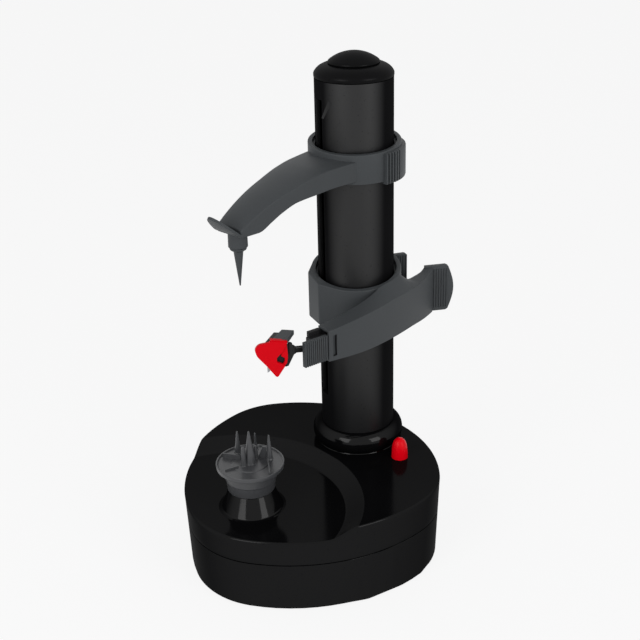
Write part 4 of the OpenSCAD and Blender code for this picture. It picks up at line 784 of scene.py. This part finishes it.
def beam_rib(share):
    x, w = ARM_X + share * ARM_RUN, ARM_T * smooth(WIDTH, share)
    while (Vector(on_arm(x, w, 0)).xy - Vector((COLUMN_X, 0))).length < RING_R + 0.6:
        w -= 0.05
    under, ridge, crest = (ARM_Z + 10 * smooth(t, share) for t in (BELOW, RIDGE, CREST))
    face = [under, ARM_Z - WINDOW_H, ARM_Z - WINDOW_H / 3, ARM_Z + WINDOW_H / 3, ARM_Z + WINDOW_H, ridge]
    inner = [crest, ARM_Z + WINDOW_H, ARM_Z - WINDOW_H, under]
    return ([on_arm(x, w * 0.5, under)] + [on_arm(x, 0, z) for z in face]
            + [on_arm(x, w * 0.5, (ridge + crest) / 2 + 0.25)] + [on_arm(x, w, z) for z in inner])


stations = [0, 0.0265, 0.06, 0.1, 0.14, 0.18] + [0.18 + 0.82 * i / 40 for i in range(1, 41)]
bm = skin([beam_rib(s) for s in stations])


def outer_cell(face):
    """How far a face lies in from the open end, and how far out from the beam's middle."""
    spot = face.calc_center_median()
    along = Vector(spot) - Vector(on_arm(ARM_X, ARM_T / 2, spot.z))
    into = along.x * cos(arm_turn) + along.y * sin(arm_turn)
    out = along.x * sin(arm_turn) - along.y * cos(arm_turn)
    return into, out


def sink(bm, faces, way, paint=0):
    """Press faces in along a vector, with new walls round the hole in that material slot."""
    pit = bmesh.ops.extrude_face_region(bm, geom=faces)
    moved = [g for g in pit["geom"] if isinstance(g, bmesh.types.BMVert)]
    for face in {f for v in moved for f in v.link_faces}:
        face.material_index = paint
    bmesh.ops.delete(bm, geom=faces, context="FACES_ONLY")
    bmesh.ops.translate(bm, verts=moved, vec=way)


window = [f for f in bm.faces if 2.4 < outer_cell(f)[0] < 5.8 and outer_cell(f)[1] > 3.5
          and abs(f.calc_center_median().z - ARM_Z) < WINDOW_H]
bmesh.ops.inset_region(bm, faces=window, thickness=0.3, depth=0.35)
bmesh.ops.inset_region(bm, faces=window, thickness=0.25, depth=-0.3)
# The window's walls take slot 1, the black fitting: painted shade, so the window looks deep.
sink(bm, window, (-sin(arm_turn) * 4.4, cos(arm_turn) * 4.4, 0), 1)
mouth = [f for f in bm.faces if len(f.verts) > 6 and abs(outer_cell(f)[0]) < 0.5]
bmesh.ops.inset_region(bm, faces=mouth, thickness=1.5)
sink(bm, mouth, (cos(arm_turn) * 12, sin(arm_turn) * 12, 0))
print("window cells:", len(window), "open ends:", len(mouth))
# The second slot, black fitting, carries the painted shade on the window's walls.
dress("arm_beam", bm, "arm", "grey_moulding", ["peeling_arm"], edge=0.4, sharp=30, second="black_fitting")
tail_at = on_arm(ARM_X + ARM_RUN, ARM_T * 0.25, 0)
tab("tail_tab", tail_at[:2], radians(-36), 11.4, ARM_Z - 13.2, ARM_Z + 15.9, "arm", 6, 3.4, inset=2.2)

# %% [markdown]
# ## Blade cartridge
# The blade sits in a cartridge that pulls out of the arm's socket for washing. Fingers hold a ribbed plate in
# front and a plain plate behind. Its parts are drawn in a frame at the arm's open end, where x runs outwards
# along the arm and y points to the outer face, and one matrix puts them in place.

# %% Cartridge body
end = Vector(on_arm(ARM_X, ARM_T / 2, 0))
END = Matrix.Translation(end) @ Matrix.Rotation(pi + arm_turn, 4, "Z")
bm = bmesh.new()
for low, high in (((-15, -2.65, 138.8), (8.8, 2.65, 151.2)), ((4, -4.5, 139.2), (8.8, 4.6, 150.8)),
                  ((0.3, -4.75, 137.5), (8.0, -2.15, 154.0))):
    block(low, high, bm)
dress("cartridge_body", bm, "cartridge", "black_fitting", ["cartridge"], edge=0.3, place=END)

comb = [(0.4, 2.15), (16.0, 2.15), (16.0, 4.2)]
for i in range(11):
    x = 15.7 - i * 1.38
    comb += [(x, 4.78), (x - 0.72, 4.78), (x - 0.9, 4.22), (x - 1.2, 4.22)]
comb.append((0.4, 4.3))
bm = skin([[(x, y, z) for x, y in comb] for z in (137.7, 138.2, 151.8, 152.3)])
dress("cartridge_grip", bm, "cartridge", "grey_moulding", edge=0.12, sharp=40, place=END)

# %% [markdown]
# ## Blade head
# A dark steel shaft carries the head, which swivels so that the blade follows the potato's skin. The head is
# a plate on top, a post below it and a hub on the shaft. The slotted blade stands behind, and a red guard
# covers the side of the fingers: a rounded triangle with a folded top edge and a notch that shows a pin.

# %% Shaft and bracket
SHAFT_Y, SHAFT_Z = -2.9, 147.0
HEAD = END @ Matrix.Translation((28.9, SHAFT_Y, SHAFT_Z))
rod = [(0, 144.9), (8, 145.0), (12, 145.4), (16, 146.3), (20, 146.9), (26.3, SHAFT_Z)]
ROD_R, ROD_RUN = 1.9, rod[-1][0]
bm = skin([[(x, SHAFT_Y + ROD_R * cos(a), z + ROD_R * sin(a)) for a in [2 * pi * i / 32 for i in range(32)]]
           for x, z in [(ROD_RUN * i / 24, smooth(rod, ROD_RUN * i / 24)) for i in range(25)]])
dress("shaft_rod", bm, "cartridge", "dark_steel", ["blade_shaft"], sharp=50, place=END)

bm = slab([(-7.7, -6.2), (-12.3, -1.2), (-3.0, 5.9), (5.4, 1.4)], 7.9, 10.5)
dress("head_bracket", bm, "head", "grey_moulding", ["yoke"], edge=0.35, place=HEAD)

FACE = HEAD @ Matrix.Translation((5.43, 2.79, -0.5)) @ Matrix.Rotation(radians(-25.6), 4, "Z")
bm = bmesh.new()
block((-8.3, -3.0, -4.8), (-1.0, -1.2, 8.6), bm)
gusset = [(-8.4, 7.4), (-11.6, 6.6), (-12.6, 1.7), (-9.1, -5.3), (-7.8, -5.6), (-5.0, -5.0), (-5.0, 7.0)]
skin([[(x, y, z) for x, z in gusset] for y in (-3.4, -1.6)], bm)
dress("head_post", bm, "head", "black_fitting", edge=0.3, place=FACE)
hub = lathe(eased([(0, -4.4), (2.7, -4.4), (2.7, 1.6), (0, 1.6)], 0.6), steps=40)
dress("head_hub", hub, "head", "black_fitting",
      place=HEAD @ Matrix.Translation((-6.6, 0, 0)) @ Matrix.Rotation(pi / 2, 4, "Y"))
pin = lathe(eased([(0, 0), (1.3, 0), (1.3, 6.6), (0, 7.4)], 0.5), steps=32)
dress("head_pin", pin, "head", "black_fitting", place=FACE @ Matrix.Translation((-10.2, -2.4, 1.2)))

# %% Blade
bm = bmesh.new()
BLADE_W, BLADE_L = 12, 17
bmesh.ops.create_grid(bm, x_segments=BLADE_W, y_segments=BLADE_L, size=0.5)
bmesh.ops.scale(bm, vec=(BLADE_W, BLADE_L, 1), verts=bm.verts)
slot = [f for f in bm.faces if abs(f.calc_center_median().x) < 1.0 and abs(f.calc_center_median().y) < 6.2]
bmesh.ops.delete(bm, geom=slot, context="FACES")
for vert in bm.verts:
    vert.co.z += 0.35 * cos(vert.co.x / BLADE_W * pi) - 0.2
bmesh.ops.solidify(bm, geom=bm.faces[:], thickness=0.5)
thin = [v for v in bm.verts if abs(v.co.x) > 5.9]
bmesh.ops.scale(bm, vec=(1, 1, 0.35), verts=thin)
upright = Matrix.Rotation(pi / 2, 4, "X")
stand = Matrix.Translation((1.7, -3.4, 0)) @ Matrix.Rotation(radians(32.8), 4, "Z") @ upright
dress("slotted_blade", bm, "head", "steel", ["blade"], sharp=40, place=HEAD @ stand)

bm = slab([(-3.2, -7.3), (-5.2, -5.5), (3.4, -0.2), (8.3, 0.5)], 8.3, 9.7)
dress("blade_carrier", bm, "head", "black_fitting", edge=0.25, place=HEAD)

# %% Red guard
tip = eased([(2.5, 10.5), (6.8, 10.2), (9.1, 7.6), (8.2, 3.6), (3.0, -3.0)], 1.8, 6)
foot = eased([(3.0, -2.9), (-2.4, -10.6), (-6.9, -3.9)], 1.9, 5)
rest = eased([(-4.4, -7.6), (-6.9, -3.9), (-5.6, -2.6), (-2.6, -1.2), (-2.5, 1.3), (-5.6, 4.4), (-8.6, 9.9),
              (0.4, 11.4), (1.3, 10.7), (2.5, 10.5)], 0.5, 3)
outline = tip[:-1] + foot[:-1] + rest[1:-1]
bm = skin([[(x, y, z) for x, z in outline] for y in (-0.9, 0.9)])
hook = [(-8.2, 8.6), (-8.6, 2.9), (-8.5, 0.0), (-8.0, -2.6), (-6.7, -4.2), (-5.4, -3.4), (-6.8, -1.9), (-7.0, 0.5),
        (-5.0, 1.8), (-5.4, 4.6)]
skin([[(x, y, z) for x, z in hook] for y in (-1.8, 0.1)], bm)
flange = [(0.5, 11.2), (0.5, 12.2), (-8.5, 10.5), (-8.5, 9.5)]
skin([[(x, y, z) for x, z in flange] for y in (-2.0, 0.5)], bm)
dress("red_guard", bm, "head", "red_moulding", ["blade_guard"], edge=0.3, place=FACE)

# %% [markdown]
# ## Food holder
# The holder turns the potato: a hub, a thin disc with a fine rim, one tall middle spike, three outer ones,
# two short blunt prongs, and thin fins that keep the potato from slipping round.

# %% Hub and disc
HUB_Z = PEDESTAL_Z + 0.3
DISC_Z = HUB_Z + 13.8
FOOT_Z = DISC_Z + 1.6
profile = [(3.2, HUB_Z)] + eased([
    (3.2, HUB_Z), (13.5, HUB_Z), (14.2, HUB_Z + 6.2), (14.6, HUB_Z + 6.6), (14.6, DISC_Z), (19.2, DISC_Z),
    (19.4, DISC_Z + 2.7), (18.5, DISC_Z + 2.7), (18.1, DISC_Z + 1.7), (10.6, DISC_Z + 1.7), (10.2, DISC_Z + 2.1),
    (0, DISC_Z + 2.2)], 0.35)
bm = lathe(profile, (FOOD_X, 0), 128)


def cone(angle, reach, low_r, high_r, height, tilt=0.0):
    """A spike on the disc: direction and distance from the middle, its two radii, its height and its lean."""
    place = (Matrix.Translation((FOOD_X, 0, FOOT_Z)) @ Matrix.Rotation(radians(angle), 4, "Z")
             @ Matrix.Translation((reach, 0, 0)) @ Matrix.Rotation(radians(tilt), 4, "Y"))
    tip = lathe(eased([(0, 0), (low_r + 0.5, 0), (low_r, 0.6), (high_r, height), (0, height + high_r * 0.3)], 0.35),
                steps=32)
    bmesh.ops.transform(tip, verts=tip.verts, matrix=place)
    spare = bpy.data.meshes.new("tip")
    tip.to_mesh(spare)
    bm.from_mesh(spare)
    bpy.data.meshes.remove(spare)
    tip.free()


cone(0, 0, 3.5, 0.5, 20.2)
cone(75, 14.2, 1.9, 0.45, 13.8)
cone(-25, 11.7, 1.9, 0.45, 15.2)
cone(32, 15.0, 1.0, 0.45, 12.0, -9)
cone(175, 4.6, 1.8, 0.95, 12.0)
cone(12, 5.6, 1.7, 0.9, 8.2)


def fin(foot, top, thick=0.8):
    """A thin upright plate between two points of the disc, with its own top edge (x, y and height)."""
    (x0, y0), (x1, y1) = foot
    across = Vector((y0 - y1, x1 - x0)).normalized() * thick / 2
    spots = [(x0, y0, 0), (x1, y1, 0)] + list(reversed(top))
    skin([[(FOOD_X + x + s * across.x, y + s * across.y, FOOT_Z + z) for x, y, z in spots] for s in (-1, 1)], bm)


fin([(6.0, 0.2), (10.2, -3.6)], [(8.2, -2.2, 7.9), (9.4, -3.4, 7.9)], 1.1)
fin([(6.7, -7.5), (-2.2, -18.0)], [(6.7, -7.6, 3.1), (-2.2, -17.6, 2.6)])
fin([(-1.4, 6.2), (-5.8, 16.6)], [(-1.4, 6.4, 3.2), (-5.8, 16.4, 2.9)])
fin([(-8.0, 1.2), (-15.0, 4.5)], [(-8.0, 1.2, 1.6), (-15.0, 4.5, 0.9)])
dress("holder_disc", bm, "holder", "grey_holder", ["food_holder"], sharp=40)

# %% [markdown]
# ## Power button
# The button is a bullet-shaped cap that rides on a spring. Its flange below the deck keeps it in, so it never
# shows.

# %% Button
BUTTON_R, BUTTON_H = 4.9, 13.0
curve = [(0.0, 1.0), (0.35, 0.965), (0.5, 0.93), (0.64, 0.87), (0.76, 0.77), (0.85, 0.656), (0.94, 0.43),
         (0.98, 0.24), (1, 0)]
bullet = [(0, HIGH_DECK - 4.5), (6.3, HIGH_DECK - 4.5), (6.3, HIGH_DECK - 2.8), (BUTTON_R, HIGH_DECK - 2.8)]
bullet += [(BUTTON_R * share, HIGH_DECK + BUTTON_H * height) for height, share in curve]
button = lathe(bullet, (COLUMN_X - 4.3, -37.0), 64)
# Its brighter red is painted light against the shade round the button.
dress("button_cap", button, "button", "red_button_painted_light", ["power_button"], sharp=40)

# %% [markdown]
# ## Studio
# A black glossy thing shows its surroundings more than itself, so the studio is drawn for its reflections.
# Two tall soft lights left and right of the camera give the pedestal its two stripes and model the arms, and
# the pale room and floor fill the rest. The floor and the room look the same to the camera and to anything
# that mirrors them.

# %% Floor, lights and world
def lamp(name, spot, aim, wide, tall, glow):
    data = bpy.data.lights.new(name, "AREA")
    data.shape, data.size, data.size_y = "RECTANGLE", wide, tall
    data.energy = glow * pi * wide * tall
    thing = bpy.data.objects.new(name, data)
    thing.location = spot
    thing.rotation_euler = (Vector(aim) - Vector(spot)).to_track_quat("-Z", "Y").to_euler()
    bpy.context.collection.objects.link(thing)
    print(f"{name}: {data.energy:.1f} W")


for name, spot in (("left_softbox", (-1.05, -0.10, 0.60)), ("right_softbox", (-0.02, -1.20, 0.60))):
    lamp(name, spot, aim=(0.02, 0, 0.12), wide=0.55, tall=0.75, glow=3.6)

# %% Floor and world
def seen(finish):
    """1 for rays that show a thing, straight, mirrored or through glass; 0 for rays that light."""
    camera, glossy, through = (finish.node("ShaderNodeLightPath", out=f"Is {kind} Ray")
                               for kind in ("Camera", "Glossy", "Transmission"))
    return camera.maths("MAXIMUM", camera.maths("MAXIMUM", camera, glossy), through)


ground = bmesh.new()
bmesh.ops.create_grid(ground, x_segments=1, y_segments=1, size=8)
sheet = bpy.data.meshes.new("floor")
ground.to_mesh(sheet)
ground.free()
floor = bpy.data.objects.new("floor", sheet)
bpy.context.collection.objects.link(floor)
paper = Finish("floor_paper", Roughness=0.9, Specular_IOR_Level=0.1)
paper.feed("Base Color", paper.blend(paper.noise(400, 2), rgb("ececec"), rgb("f0f0f0")))
glow = paper.node("ShaderNodeEmission", None, {"Color": (1, 1, 1, 1)})
matt = Tone(paper, paper.shader.outputs[0])
SHINE = 0.88
shown = paper.node("ShaderNodeMixShader", None, {0: seen(paper) * SHINE, 1: matt, 2: glow})
paper.tree.links.new(shown.socket, paper.tree.nodes["Material Output"].inputs["Surface"])
sheet.materials.append(paper.material)

world = bpy.data.worlds.new("studio")
world.use_nodes = True
bpy.context.scene.world = world
room = Finish("room", tree=world.node_tree)
colour = room.blend(seen(room), (0.38, 0.38, 0.39), (0.93, 0.93, 0.93))
room.tree.links.new(colour.socket, room.tree.nodes["Background"].inputs["Color"])
scene = bpy.context.scene
scene.view_settings.view_transform = "Standard"

# %% [markdown]
# ## Camera
# The outline of the base, the column and the two arms fix where the photograph was taken from: about 0.73 m
# away, 24 degrees above the horizon, off the corner between the food holder's end and the button's side.

# %% Camera
TURN, DIP, ROLL = radians(46.667), radians(24.480), radians(1.476)
ahead = Vector((cos(DIP) * sin(TURN), cos(DIP) * cos(TURN), -sin(DIP)))
level = Vector((cos(TURN), -sin(TURN), 0))
down = Vector((-sin(DIP) * sin(TURN), -sin(DIP) * cos(TURN), -cos(DIP)))
right = cos(ROLL) * level + sin(ROLL) * down
up = -(cos(ROLL) * down - sin(ROLL) * level)
eye = bpy.data.cameras.new("photo_camera")
eye.lens, eye.sensor_width, eye.clip_start = 66.385, 36, 0.01
camera = bpy.data.objects.new("photo_camera", eye)
camera.matrix_world = (Matrix.Translation((-0.43244, -0.42419, 0.42416))
                       @ Matrix((right, up, -ahead)).transposed().to_4x4())
bpy.context.collection.objects.link(camera)
scene.camera = camera
print("camera at", tuple(round(v, 3) for v in camera.location))
